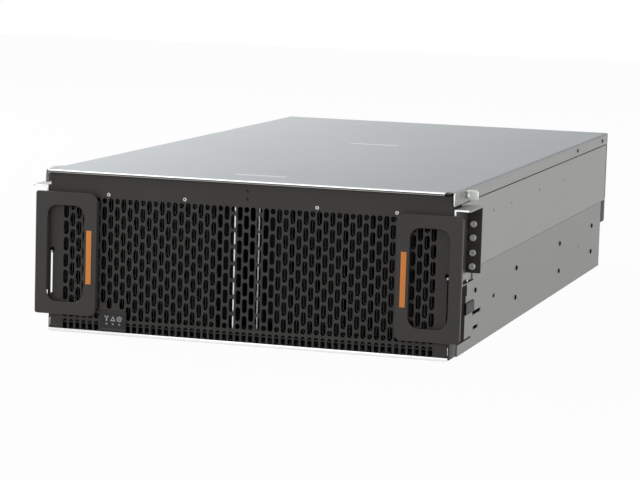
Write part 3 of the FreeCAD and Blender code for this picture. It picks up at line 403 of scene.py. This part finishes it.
def arc(cx, cz, r, start, stop, steps):
    """Points on an arc, angles in degrees."""
    return [(cx + r * math.cos(math.radians(start + (stop - start) * i / steps)),
             cz + r * math.sin(math.radians(start + (stop - start) * i / steps)))
            for i in range(steps + 1)]


def obround(x, low, high, width, steps=6):
    """Outline of an upright slot with round ends."""
    r = width / 2
    return arc(x, high - r, r, 0, 180, steps) + arc(x, low + r, r, 180, 360, steps)


def rounded(x0, z0, x1, z1, r, steps=5):
    """Outline of a rectangle with round corners."""
    return (arc(x1 - r, z1 - r, r, 0, 90, steps) + arc(x0 + r, z1 - r, r, 90, 180, steps)
            + arc(x0 + r, z0 + r, r, 180, 270, steps) + arc(x1 - r, z0 + r, r, 270, 360, steps))


# ------------------------------------------------------------------ sizes from the frame
def span(node):
    """Lowest and highest corner of a CAD node, in millimetres."""
    low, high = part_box(node)
    return [c / MM for c in low], [c / MM for c in high]


BEZEL_LOW, BEZEL_HIGH = span("front_bezel")
COVER_LOW, COVER_HIGH = span("top_cover")
HANDLE_LOW, HANDLE_HIGH = span("handle_right")
HALF = BEZEL_HIGH[0]        # half the width of the chassis
FACE = BEZEL_LOW[1]         # front face of the bezel
STEEL = 1.2                 # thickness of the sheet
SIDES = (("right", 1), ("left", -1))


# ------------------------------------------------------------------ bezel
COLUMNS = 57                # columns of slots
PITCH = 7.25                # from one column to the next
SLOT = 5.5                  # width of a slot
LENGTH = 15.0               # height of a full slot
RISE = 17.75                # from one slot to the one above
FIELD = 16.75               # lowest end of the slots
STACK = 7                   # full slots in a column
STEP = 23.0                 # top of the narrow foot
SHOULDER = 158.0            # foot of the narrow neck
FOOT = HALF - 4.0           # half widths of the foot and the neck
NECK = HALF - 2.5
VENT_RADIUS = 2.4           # half width of a comb vent
VENT_TOP = 14.3
SCREW_COLUMNS = (-155, -69, 77, 163)
KEY_HOLES = (155.4, 164.1)  # heights of the two small holes in the top strip
SLIT_LOW = 40
SLIT_HIGH = 86.5
SLIT_WIDTH = 2.2
SLITS = (-219.2, 219.5)
LINER_INNER = 30            # the liner lies on both sides of the centre beam
LINER_OUTER = 206
LINER_BOTTOM = 14.5
LINER_TOP = 150
PANEL_LOW, PANEL_HIGH = span("status_panel")
SCREWS_LOW, SCREWS_HIGH = span("bezel_screws")
SCREW_Z = (SCREWS_LOW[2] + SCREWS_HIGH[2]) / 2
COLUMN_PLACES = [(i - (COLUMNS - 1) / 2) * PITCH for i in range(COLUMNS)]


def over_panel(x):
    """Whether a column stands above the status panel."""
    return PANEL_LOW[0] - 1 < x < PANEL_HIGH[0] - 1


def slot_spans(column, x):
    """Full slots and one short one in each column, neighbours half a rise apart."""
    spans = [(FIELD + i * RISE, FIELD + i * RISE + LENGTH) for i in range(STACK)]
    short = LENGTH - RISE / 2
    if column % 2:
        spans.append((FIELD + STACK * RISE, FIELD + STACK * RISE + short))
    else:
        spans = [(FIELD, FIELD + short)] + [(a + RISE / 2, b + RISE / 2) for a, b in spans]
    if over_panel(x):
        floor = PANEL_HIGH[2] + 2.5
        spans = [(max(a, floor), b) for a, b in spans if b > floor + 5]
    return spans


def bezel():
    """Drawn sheet with staggered slots, a comb of vents at its foot and folded sides."""
    bottom, top = BEZEL_LOW[2], BEZEL_HIGH[2]
    right = (arc(FOOT - 4, bottom + 4, 4, 270, 360, 4)
             + [(FOOT, STEP), (HALF, STEP), (HALF, SHOULDER), (NECK, SHOULDER), (NECK, top)])
    left = [(-x, z) for x, z in reversed(right)]
    comb = []
    for x in COLUMN_PLACES:
        if not over_panel(x):
            comb += [(x - VENT_RADIUS, bottom)]
            comb += arc(x, VENT_TOP - VENT_RADIUS, VENT_RADIUS, 180, 0, 5)
            comb += [(x + VENT_RADIUS, bottom)]
    holes = [obround(x, low, high, SLOT)
             for i, x in enumerate(COLUMN_PLACES) for low, high in slot_spans(i + 1, x)]
    holes += [arc(x, SCREW_Z, 1.7, 0, 345, 23) for x in SCREW_COLUMNS]
    holes += [arc(0.6, z, 1.5, 0, 330, 11) for z in KEY_HOLES]
    holes += [obround(x, SLIT_LOW, SLIT_HIGH, SLIT_WIDTH) for x in SLITS]
    sheet = cut_sheet("grille_sheet", comb + right + left, holes, "y", FACE, STEEL, 0.22)
    grille = finish_piece("grille_sheet", sheet, "chassis", BEZEL)
    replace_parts(grille, "front_bezel")
    bezel_rim(bottom, top)


def bezel_rim(bottom, top):
    """Folds behind the edges of the sheet, open beside the side slits."""
    rim = Work()
    start = FACE + STEEL - 0.1
    back = BEZEL_HIGH[1]
    foot_fold = [(FOOT - STEEL, bottom + 4), (FOOT, bottom + 4), (FOOT, STEP - 0.3),
                 (FOOT - STEEL, STEP + STEEL)]
    low_fold = [(HALF - STEEL, STEP + STEEL), (HALF, STEP), (HALF, SLIT_LOW),
                (HALF - STEEL, SLIT_LOW)]
    high_fold = [(HALF - STEEL, SLIT_HIGH), (HALF, SLIT_HIGH), (HALF, SHOULDER),
                 (HALF - STEEL, SHOULDER - STEEL)]
    step_fold = [(FOOT - STEEL, STEP), (HALF, STEP), (HALF, STEP + STEEL),
                 (FOOT - STEEL, STEP + STEEL)]
    shoulder_fold = [(NECK - STEEL, SHOULDER - STEEL), (HALF, SHOULDER - STEEL),
                     (HALF, SHOULDER), (NECK - STEEL, SHOULDER)]
    neck_fold = [(NECK - STEEL, SHOULDER), (NECK, SHOULDER), (NECK, top), (NECK - STEEL, top)]
    for sign in (1, -1):
        for fold in (foot_fold, low_fold, high_fold, step_fold, shoulder_fold, neck_fold):
            outline = [(sign * x, z) for x, z in fold]
            rim.prism(outline, "y", start, back - start)
    rim.slab((-NECK, start, top - STEEL), (NECK, back, top))
    rim.piece("bezel_rim", "chassis", BEZEL, "bezel_paint", 30)


def grille_liner():
    """Liner behind the slots, near-black as painted shade; its drawn rims are mid grey as painted
    glints.
    """
    for side, sign in SIDES:
        inner = []
        outer = []
        for i, x in enumerate(COLUMN_PLACES):
            if LINER_INNER < sign * x < LINER_OUTER:
                for low, high in slot_spans(i + 1, x):
                    inner.append(obround(x, low + 0.6, high - 0.2, SLOT - 0.9, 4))
                    outer.append(obround(x, low + 0.1, high + 0.3, SLOT - 0.1, 4))
        edge = [(sign * LINER_INNER, LINER_BOTTOM), (sign * LINER_OUTER, LINER_BOTTOM),
                (sign * LINER_OUTER, LINER_TOP), (sign * LINER_INNER, LINER_TOP)]
        liner = Work()
        liner.sheet(edge, outer, "y", FACE + 8, 0.8)
        liner.piece("grille_liner_" + side, "chassis", SHADE_BLACK, "black_plastic", 40)
        rim_glints = Work()
        rim_glints.sheet(outer[0], outer[1:] + inner, "y", FACE + 7.8, 0.8)
        rim_glints.piece("liner_rim_glints_" + side, "chassis", MID_GREY_GLINT_AND_SHADE, "zinc_sheet", 40)


def bezel_fasteners():
    """Bright pan heads with a black disc of painted shade in each socket, near-white studs at the
    side slits as painted highlights, and black wells there as painted shade.
    """
    heads = Work()
    socket_shades = Work()
    front = SCREWS_LOW[1]
    pan_head = [(FACE - front, 2.1), (0.35, 2.1), (0.0, 1.75), (0.0, 1.0), (0.3, 0.9), (0.4, 0.0)]
    for x in SCREW_COLUMNS:
        heads.turned(pan_head, (x, front, SCREW_Z), "y", 20)
        socket_shades.turned([(0.32, 0.85), (0.28, 0.0)], (x, front, SCREW_Z), "y", 12)
    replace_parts(heads.piece("bezel_screw_heads", "chassis", SCREW, "plated_steel", 40),
                "bezel_screws")
    # Black discs in the sockets: painted shade.
    socket_shades.piece("bezel_screw_socket_shade", "chassis", BLACK, "black_plastic")
    studs = Work()
    shank = [(0, 0), (0, 1.3), (0.4, 1.7), (6, 1.7), (6, 1.1), (14, 1.1), (14, 0)]
    button = [(0, 1.0), (-0.3, 1.3), (-0.9, 1.0), (-0.9, 0)]
    for x in (-219.2, 219.2):
        studs.turned(shank, (x, FACE + 2, 86.0), "y", 16)
        studs.slab((x - 0.9, FACE + 8, 78), (x + 0.9, FACE + 12, SLIT_HIGH), 0.2)
        studs.turned(button, (x, FACE, 86.3), "y", 14)
    # Near-white studs: painted highlight.
    studs.piece("slit_studs", "chassis", HEAD_HIGHLIGHT, "plated_steel", 40)
    well_shades = Work()
    # Black discs at the slits: painted shade of the holes.
    for x in (-218.4, 218.4):
        well_shades.turned([(0, 0), (0, 2.7), (-0.1, 2.6), (-0.1, 0)], (x, FACE, 88.6), "y", 18)
    well_shades.piece("slit_well_shade", "chassis", SHADE_BLACK, "black_plastic", 40)


bezel()
grille_liner()
bezel_fasteners()


# ------------------------------------------------------------------ handles
WINDOW_LOW = (179.4, 33.5)
WINDOW_HIGH = (221.7, 137.5)
WINDOW_RADIUS = 11.5


def handle(side, sign):
    """Pressed plate handle with a large round-cornered window and turned-in flanges."""
    left, front, bottom = HANDLE_LOW
    right = HANDLE_HIGH[0]
    top = HANDLE_HIGH[2]
    border = (arc(right - 2.5, top - 2.5, 2.5, 0, 90, 4) + arc(left + 8, top - 8, 8, 90, 180, 6)
              + arc(left + 8, bottom + 8, 8, 180, 270, 6)
              + arc(right - 2.5, bottom + 2.5, 2.5, 270, 360, 4))
    window = rounded(*WINDOW_LOW, *WINDOW_HIGH, WINDOW_RADIUS, 8)
    if sign < 0:
        border = [(-x, z) for x, z in reversed(border)]
        window = [(-x, z) for x, z in reversed(window)]
    plate = cut_sheet("handle_plate", border, [window], "y", front, 2.0, 0.6)
    plate = finish_piece("handle_plate_" + side, plate, "chassis", GRIP, 60)
    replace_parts(plate, "handle_" + side)
    flanges = Work()
    flanges.slab((left, front + 0.9, bottom + 8), (left + 2, FACE, top - 8), 0.3)
    flanges.slab((right - 2, front + 0.9, bottom + 3), (right, front + 6, top - 3), 0.4)
    flanges.slab((WINDOW_HIGH[0], front + 0.9, 45), (WINDOW_HIGH[0] + 2, FACE - 0.4, 126), 0.4)
    if sign < 0:
        flanges.flipped()
    flanges.piece("handle_flanges_" + side, "chassis", GRIP, "handle_paint", 60)


for side, sign in SIDES:
    handle(side, sign)


# ------------------------------------------------------------------ cover
FOLD_LOW = span("cover_side_right")[0]
LIP = FOLD_LOW[2]           # lower edge of the cover's side folds


def cover():
    """Folded cover: one bent sheet with side folds, and a hemmed front edge with a painted highlight
    on its bend and painted shade in its groove.
    """
    top = COVER_HIGH[2] - 0.1
    end = COVER_HIGH[1]
    start = FOLD_LOW[1]
    front = COVER_LOW[1]
    r = 2.0
    outer = (arc(-HALF + r, top - r, r, 180, 90, 4) + arc(HALF - r, top - r, r, 90, 0, 4))
    inner = (arc(HALF - r, top - r, r - STEEL, 0, 90, 3)
             + arc(-HALF + r, top - r, r - STEEL, 90, 180, 3))
    folds = Work()
    folds.slab((HALF - STEEL, start, LIP), (HALF, end, top - r))
    folds.mirrored()
    folds.piece("cover_folds", "cover", SHEET, "zinc_sheet", 25)
    bent = Work()
    bent.prism(outer + inner, "y", start, end - start)
    bent.slab((-HALF + 1.5, front + 0.8, top - STEEL), (HALF - 9, start + 0.1, top))
    shell = bent.piece("cover_bent", "cover", COVER, "zinc_sheet", 25)
    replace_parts(shell, "top_cover", "cover_side_left", "cover_side_right")
    # Near-white hem: painted highlight along the front bend.
    hem = Work()
    hem.prism([(front + 0.8, top), (front + 0.35, top - 0.1), (front + 0.08, top - 0.5),
               (front, top - 0.8), (front, top - 1.5), (front + 0.8, top - 1.5)],
              "x", -HALF + 0.5, 2 * HALF - 10)
    hem.piece("cover_hem", "cover", EDGE_HIGHLIGHT, "zinc_sheet", 40)
    fold = Work()
    fold.slab((-HALF + 1, front + 0.3, top - 3.4), (HALF - 10, front + 7, top - 2.4), 0.15)
    fold.piece("cover_under_fold", "cover", SHEET, "zinc_sheet", 40)
    # Black slab in the groove of the hem: painted shade.
    hem_shade = Work()
    hem_shade.slab((-HALF + 1, front + 0.8, top - 2.5), (HALF - 4, front + 6, top - 1.3))
    hem_shade.piece("cover_hem_painted_shade", "cover", BLACK, "black_plastic", 40)


def cover_ribs():
    """Shallow pressed ribs that stiffen the middle of the cover, painted paler than the cover as a
    painted highlight.
    """
    top = COVER_HIGH[2]
    ribs = Work()
    for x0, x1, y in ((-31, 29, 445), (-31, 25, 3)):
        ribs.slab((x0, y - 5, top - 0.3), (x1, y + 5, top), 0.1, 1)
    ribs.piece("cover_ribs", "cover", PRESSED_HIGHLIGHT, "zinc_sheet", 30)


cover()
cover_ribs()


# ------------------------------------------------------------------ latches
PIN_Y = -12.0


def latch(side, sign):
    """Base plate on the side fold, pivot lugs and a dished finger tab."""
    (_, y0, z0), (_, y1, z1) = span("latch_base_right")
    tab_low, tab_high = span("latch_tab_right")
    base = Work()
    border = (arc(y1 - 2, z1 - 2, 2, 0, 90, 4) + arc(y0 + 2.5, z1 - 2.5, 2.5, 90, 180, 4)
              + arc(y0 + 3.5, z0 + 3.5, 3.5, 180, 270, 5) + arc(y1 - 2, z0 + 2, 2, 270, 360, 4))
    holes = [arc(-52.5, 171.2, 1.5, 0, 330, 11), arc(-55.2, 165.6, 1.0, 0, 330, 11),
             arc(-30, 170.6, 1.8, 0, 330, 11)]
    base.sheet(border, holes, "x", HALF, STEEL, 0.25)
    x_pin = HALF + STEEL + 3
    for z in (tab_low[2] + 2.2, tab_high[2] - 3.4):
        base.slab((HALF + 0.6, PIN_Y - 2.2, z), (x_pin, PIN_Y + 2.2, z + 1.2), 0.2, 1)
        base.turned([(0, 0), (0, 2.2), (1.2, 2.2), (1.2, 0)], (x_pin, PIN_Y, z), "z", 16)
    base.turned([(0, 0), (0, 0.95), (6.6, 0.95), (6.6, 0)], (x_pin, PIN_Y, tab_low[2] + 2.2),
                "z", 12)
    rim = Work()
    rim.prism(arc(y0 + 2.5, z1 - 2.5, 2.5, 90, 180, 4) + arc(y0 + 3.5, z0 + 3.5, 3.5, 180, 250, 4)
              + arc(y0 + 4.3, z0 + 4.0, 3.2, 250, 180, 4) + arc(y0 + 3.6, z1 - 3.4, 2.6, 180, 90, 4),
              "x", HALF + 0.9, 0.7)
    tab = Work()
    out = tab_high[0]
    border = rounded(x_pin - 1, tab_low[2], out, tab_high[2], 3.0, 5)
    dish = rounded(x_pin + 2.2, tab_low[2] + 2.4, out - 2.6, tab_high[2] - 2.4, 2.9, 5)
    tab.sheet(border, [dish], "y", PIN_Y - 1.5, 0.9, 0.2)
    tab.sheet(border, [], "y", PIN_Y - 0.6, 2.1, 0.3)
    tab.turned([(0, 0.98), (0, 2.2), (4.0, 2.2), (4.0, 0.98)], (x_pin, PIN_Y, tab_low[2] + 3.6),
               "z", 16)
    if sign < 0:
        for work in (base, rim, tab):
            work.flipped()
    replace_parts(base.piece("latch_plate_" + side, "cover", SHEET, "zinc_sheet", 40),
                "latch_base_" + side)
    # Near-white rim on the base plate: painted highlight.
    rim.piece("latch_rim_" + side, "cover", EDGE_HIGHLIGHT, "zinc_sheet", 40)
    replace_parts(tab.piece("latch_paddle_" + side, "cover_latch_" + side, TAB, "latch_pale", 40),
                "latch_tab_" + side)


for side, sign in SIDES:
    latch(side, sign)


# ------------------------------------------------------------------ ears
EAR_HOLE_X = 232.55
HALF_UNIT_GAP = 7.9375      # half of the 15.875 mm between two rack holes


def ear(side, sign):
    """Painted bracket under a bare shelf whose cut edges are near-white strips, a painted highlight.
    """
    (near, front, bottom), (out, _, top) = span("ear_right")
    bracket = Work()
    holes = [arc(EAR_HOLE_X, z, 3.25, 0, 345, 23) for z in ear_rows()]
    bracket.sheet(rounded(near, bottom, out, top - 1, 0.8, 2), holes, "y", -2, 2, 0.2)
    bracket.slab((near, front + 0.4, bottom), (near + 2, -1, top - 1.9), 0.3)
    shelf = Work()
    outline = [(near, front + 0.4), (out - 1.5, front + 0.4), (out, front + 2), (out, -0.5),
               (near, -0.5)]
    shelf.sheet(outline, [], "z", top - 2, 2, 0.25)
    edges = Work()
    edges.slab((near + 0.1, front, top - 1.9), (out - 2, front + 0.6, top - 0.1), 0.15, 1)
    edges.slab((near + 0.1, front, bottom + 1), (near + 1.9, front + 0.6, top - 1.7), 0.15, 1)
    if sign < 0:
        for work in (bracket, shelf, edges):
            work.flipped()
    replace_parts(bracket.piece("ear_bracket_" + side, "chassis", GRIP, "handle_paint", 40),
                "ear_" + side)
    shelf.piece("ear_shelf_" + side, "chassis", SHEET, "zinc_sheet", 40)
    edges.piece("ear_edge_highlights_" + side, "chassis", EDGE_HIGHLIGHT, "zinc_sheet", 40)


def ear_rows():
    """Heights of the four rack screws on an ear."""
    low, high = span("rack_screws")
    bottom = low[2] + 3.6
    top = high[2] - 3.6
    middle = (bottom + top) / 2
    return (bottom, middle - HALF_UNIT_GAP, middle + HALF_UNIT_GAP, top)


for side, sign in SIDES:
    ear(side, sign)


# ------------------------------------------------------------------ inside
def inside():
    """Two cheeks of the centre beam in dark zinc as painted shade, with near-white strips at their
    cut edges as painted highlights behind the grille.
    """
    low, high = span("centre_beam")
    bottom = 15
    top = 147
    glint_strips = Work()
    cheeks = Work()
    for x in (low[0] - 1.3, high[0] - 0.6):
        glint_strips.slab((x - 0.75, FACE + 5.5, bottom), (x + 0.75, FACE + 6.5, top), 0.15, 1)
        cheeks.slab((x - 0.6, FACE + 6.5, bottom), (x + 0.6, low[1] + 0.1, top))
    glint_strips.piece("beam_edge_highlights", "chassis", EDGE_HIGHLIGHT, "zinc_sheet", 40)
    cheeks.piece("beam_cheeks", "chassis", INNER_SHADE, "zinc_sheet", 40)


inside()


# ------------------------------------------------------------------ sides and foot
def cover_fixings():
    """Dark rivets in the cover's side folds."""
    heads = Work()
    rivet = [(0, 2.6), (0.4, 2.6), (1.3, 1.9), (1.4, 0)]
    for y in (598, 767):
        heads.turned(rivet, (HALF - 0.1, y, 167.6), "x", 14)
    heads.mirrored()
    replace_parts(heads.piece("cover_rivet_heads", "cover", BLACK, "plated_steel", 35),
                "cover_rivets")


def rack_heads():
    """Pan heads on the ears with a ring, a socket and a shank behind."""
    front = span("rack_screws")[0][1]
    heads = Work()
    profile = [(4.0, 2.3), (2.6, 2.3), (2.6, 3.3), (0.6, 3.5), (0.1, 3.1), (0.1, 2.1),
               (0.5, 1.9), (0.2, 1.6), (0.2, 0.9), (0.9, 0.7), (0.9, 0)]
    for z in ear_rows():
        heads.turned(profile, (EAR_HOLE_X, front, z), "y", 20)
    heads.mirrored()
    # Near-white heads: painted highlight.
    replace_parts(heads.piece("rack_screw_heads", "chassis", HEAD_HIGHLIGHT, "plated_steel", 40),
                "rack_screws")


RIVET_COLUMNS = (258, 506, 715)     # along Y
RIVET_ROWS = (26, 60)               # heights
DIMPLES = ((130, 139), (221, 138.5), (371, 139), (517, 138), (630, 42.5), (148, 43))
SHADE_GAPS = (                            # low Y, low Z, high Y, high Z of each black strip of painted shade
    (-19, 60, 16, 72), (-19, 41, 12, 60), (-19, 12, 10, 41), (-3, 73.4, 16, 77),
    (16, 73.4, 30, 75.6), (30, 73.4, 44, 74.6), (10, 12, 40, 13.8))


def rivet_profile(radius):
    """Low round head that stands 1.5 mm out of the sheet."""
    return [(0, radius), (0.5, radius), (1.4, radius - 0.8), (1.5, 0)]


def sides():
    """Rivets, near-black as painted shade, punched dimples in mid grey as painted shade, black
    strips of painted shade at the gap beside the bezel and under the cover's lip, and the fold at
    the rear corner in dark zinc as painted shade.
    """
    rivets = Work()
    dimples = Work()
    shade_gaps = Work()
    folds = Work()
    pins = Work()
    skin = HALF - 0.1
    # The rivet heads are near-black: painted shade.
    for y in RIVET_COLUMNS:
        for z in RIVET_ROWS:
            rivets.turned(rivet_profile(3.0), (skin, y, z), "x", 14)
    rivets.turned(rivet_profile(2.8), (skin, 54.6, 61), "x", 14)
    # Mid grey dimples: painted shade in the punched hollows.
    for y, z in DIMPLES:
        dimples.turned([(0, 1.9), (0.12, 1.9), (0.3, 1.3), (0.35, 0)], (skin, y, z), "x", 12)
    # Black strips beside the bezel and under the cover's lip: painted shade.
    for y0, z0, y1, z1 in SHADE_GAPS:
        shade_gaps.slab((skin, y0, z0), (HALF + 0.12, y1, z1))
    shade_gaps.slab((skin, -46, LIP - 1.1), (HALF + 0.1, 800, LIP - 0.1))
    # Dark zinc at the rear corner fold: painted shade in the recess.
    folds.slab((HALF - 2.4, 777, 57.5), (skin, 804.4, 86), 0.2)
    folds.slab((skin, 800.4, 88), (HALF + 0.12, 804.5, LIP - 1.2))
    pins.turned([(0, 1.7), (1.0, 1.7), (1.5, 1.1), (1.5, 0)], (HALF, 12, 76.6), "x", 14)
    for work, name, finish, slot in (
            (rivets, "side_rivets", SHADE_BLACK, "black_plastic"),
            (dimples, "side_dimples", MID_GREY_GLINT_AND_SHADE, "zinc_sheet"),
            (shade_gaps, "side_shade_strips", SHADE_BLACK, "black_plastic"),
            (folds, "corner_folds", INNER_SHADE, "zinc_sheet"),
            (pins, "side_pins", SCREW, "plated_steel")):
        work.mirrored()
        work.piece(name, "chassis", finish, slot, 35)


def foot():
    """Bare front edge of the tray below the comb, near-white as a painted highlight, and the
    brackets beside it.
    """
    lip = Work()
    lip.slab((-HALF + 2, FACE - 0.3, 0.1), (HALF - 2, FACE + 0.6, BEZEL_LOW[2] - 0.1), 0.2)
    # Near-white lip: painted highlight.
    lip.piece("tray_lip", "chassis", EDGE_HIGHLIGHT, "zinc_sheet", 40)
    bracket = Work()
    bracket.slab((HALF - 12, FACE + 2, 1), (HALF - 0.8, -19.5, 22.5), 0.3)
    bracket.mirrored()
    bracket.piece("foot_brackets", "chassis", BEZEL, "bezel_paint", 40)
    stud = Work()
    stud.slab((HALF - 3.0, FACE + 1.6, 6), (HALF - 2.2, FACE + 2.2, 14), 0.2)
    stud.mirrored()
    stud.piece("foot_studs", "chassis", SCREW, "plated_steel", 40)


def panel_symbols():
    """Generic symbols above the three lenses, and a ring about each lens: a post with a
    bar, a triangle, and a crossed-out circle."""
    low, high = span("status_lenses")
    lens_z = (low[2] + high[2]) / 2
    columns = (low[0] + 0.9, (low[0] + high[0]) / 2, high[0] - 0.9)
    front = PANEL_LOW[1] + 0.45
    thick = 0.25
    back = front + thick
    z = 18.2
    marks = Work()
    x = columns[0]
    marks.slab((x - 0.8, front, z - 2.7), (x + 0.8, back, z + 2.6))
    marks.slab((x - 2.4, front, z + 1.6), (x + 2.4, back, z + 2.7))
    x = columns[1]
    triangle = [(x - 3.1, z - 2.6), (x + 3.1, z - 2.6), (x, z + 2.9)]
    opening = [(x - 1.5, z - 1.6), (x + 1.5, z - 1.6), (x, z + 1.0)]
    marks.sheet(triangle, [opening], "y", front, thick)
    x = columns[2]
    marks.sheet(arc(x, z, 2.9, 0, 342, 19), [arc(x, z, 1.9, 0, 330, 11)], "y", front, thick)
    bar = [(x - 1.9, z - 1.3), (x - 1.3, z - 1.9), (x + 1.9, z + 1.3), (x + 1.3, z + 1.9)]
    marks.prism(bar, "y", front, thick)
    marks.piece("panel_symbols", "chassis", LENS, "lens_clear", 40)
    rings = Work()
    ring = [(0, 1.3), (0, 1.9), (0.3, 1.9), (0.3, 1.3), (0, 1.3)]
    for x in columns:
        rings.turned(ring, (x, PANEL_LOW[1] + 0.4, lens_z), "y", 16)
    rings.piece("lens_rings", "chassis", MID_GREY_GLINT_AND_SHADE, "zinc_sheet", 40)


cover_fixings()
rack_heads()
sides()
foot()
panel_symbols()


# ------------------------------------------------------------------ CAD nodes' edges
for node in ("handle_strip_left", "handle_strip_right", "status_panel"):
    soften(node, 0.25)


# ------------------------------------------------------------------ stage, lamps and camera
def background(tree, strength):
    """White light of one strength from all round."""
    made = tree.nodes.new("ShaderNodeBackground")
    made.inputs["Color"].default_value = (1, 1, 1, 1)
    made.inputs["Strength"].default_value = strength
    return made


def sky():
    """White for the eye, for mirrors and through glass; a dim fill for all other rays."""
    scene = bpy.context.scene
    scene.view_settings.view_transform = "Standard"
    world = bpy.data.worlds.new("studio")
    scene.world = world
    world.use_nodes = True
    tree = world.node_tree
    tree.nodes.clear()
    out = tree.nodes.new("ShaderNodeOutputWorld")
    ray = tree.nodes.new("ShaderNodeLightPath")
    seen = tree.nodes.new("ShaderNodeMath")
    seen.operation = "MAXIMUM"
    tree.links.new(ray.outputs["Is Camera Ray"], seen.inputs[0])
    other = tree.nodes.new("ShaderNodeMath")
    other.operation = "MAXIMUM"
    tree.links.new(ray.outputs["Is Glossy Ray"], other.inputs[0])
    tree.links.new(ray.outputs["Is Transmission Ray"], other.inputs[1])
    tree.links.new(other.outputs[0], seen.inputs[1])
    ambient = background(tree, 0.2)
    white = background(tree, 1.0)
    mix = tree.nodes.new("ShaderNodeMixShader")
    tree.links.new(seen.outputs[0], mix.inputs[0])
    tree.links.new(ambient.outputs[0], mix.inputs[1])
    tree.links.new(white.outputs[0], mix.inputs[2])
    tree.links.new(mix.outputs[0], out.inputs["Surface"])


def paper_floor():
    """White floor that takes soft shadows: for the eye it glows nearly as the sky does."""
    ground = bmesh.new()
    bmesh.ops.create_grid(ground, x_segments=1, y_segments=1, size=6.0)
    mesh = bpy.data.meshes.new("studio_floor")
    ground.to_mesh(mesh)
    ground.free()
    floor = bpy.data.objects.new("studio_floor", mesh)
    bpy.context.scene.collection.objects.link(floor)
    paper = Finish("studio_paper", Base_Color=(0.4, 0.4, 0.4, 1), Roughness=0.9)
    glow = paper.tree.nodes.new("ShaderNodeEmission")
    glow.inputs["Strength"].default_value = 1.0
    blend = paper.tree.nodes.new("ShaderNodeMixShader")
    end = paper.tree.nodes["Material Output"]
    path = paper.tree.nodes.new("ShaderNodeLightPath")
    eye, mirror, glass = (Field(paper, path.outputs["Is %s Ray" % kind])
                          for kind in ("Camera", "Glossy", "Transmission"))
    seen = (eye + mirror + glass).over(0.5, 0.2) * 0.97
    paper.tree.links.new(seen.socket, blend.inputs[0])
    paper.tree.links.new(paper.shader.outputs[0], blend.inputs[1])
    paper.tree.links.new(glow.outputs[0], blend.inputs[2])
    paper.tree.links.new(blend.outputs[0], end.inputs["Surface"])
    mesh.materials.append(paper.material)


def lamp(name, place, target, size, watts):
    """Rectangular soft lamp turned towards a target, in metres."""
    light = bpy.data.lights.new(name, "AREA")
    light.shape = "RECTANGLE"
    light.size, light.size_y = size
    light.energy = watts
    thing = bpy.data.objects.new(name, light)
    thing.location = place
    thing.visible_camera = False
    thing.rotation_euler = (Vector(target) - Vector(place)).to_track_quat("-Z", "Y").to_euler()
    bpy.context.scene.collection.objects.link(thing)


def camera():
    """Long lens a little above the shelf, turned to its right front corner; angles in
    radians."""
    yaw = 0.2894
    pitch = 0.1249
    roll = 0.0294
    ahead = Vector((-math.sin(yaw) * math.cos(pitch), math.cos(yaw) * math.cos(pitch),
                    -math.sin(pitch)))
    right = Vector((math.cos(yaw), math.sin(yaw), 0))
    up = right.cross(ahead)
    across = right * math.cos(roll) + up * math.sin(roll)
    upward = up * math.cos(roll) - right * math.sin(roll)
    lens = bpy.data.cameras.new("camera")
    lens.sensor_width = 36
    lens.lens = 143.94
    lens.clip_start, lens.clip_end = 0.05, 60
    eye = bpy.data.objects.new("camera", lens)
    turn = Matrix((across, upward, -ahead)).transposed().to_4x4()
    eye.matrix_world = Matrix.Translation((0.8346, -2.5828, 0.4491)) @ turn
    bpy.context.scene.collection.objects.link(eye)
    bpy.context.scene.camera = eye


sky()
paper_floor()
lamp("left_key", (-0.75, -0.3, 0.9), (-0.1, 0.1, 0.15), (0.7, 0.7), 3.3)
lamp("left_far", (-2.6, 1.6, 1.5), (0, 0.2, 0.15), (2.4, 1.8), 122)
lamp("front_fill", (-0.6, -3.0, 1.0), (0, 0, 0.1), (2.4, 1.6), 18)
lamp("right_fill", (2.9, -0.6, 0.6), (0, 0.3, 0.1), (2.0, 1.2), 23)
camera()
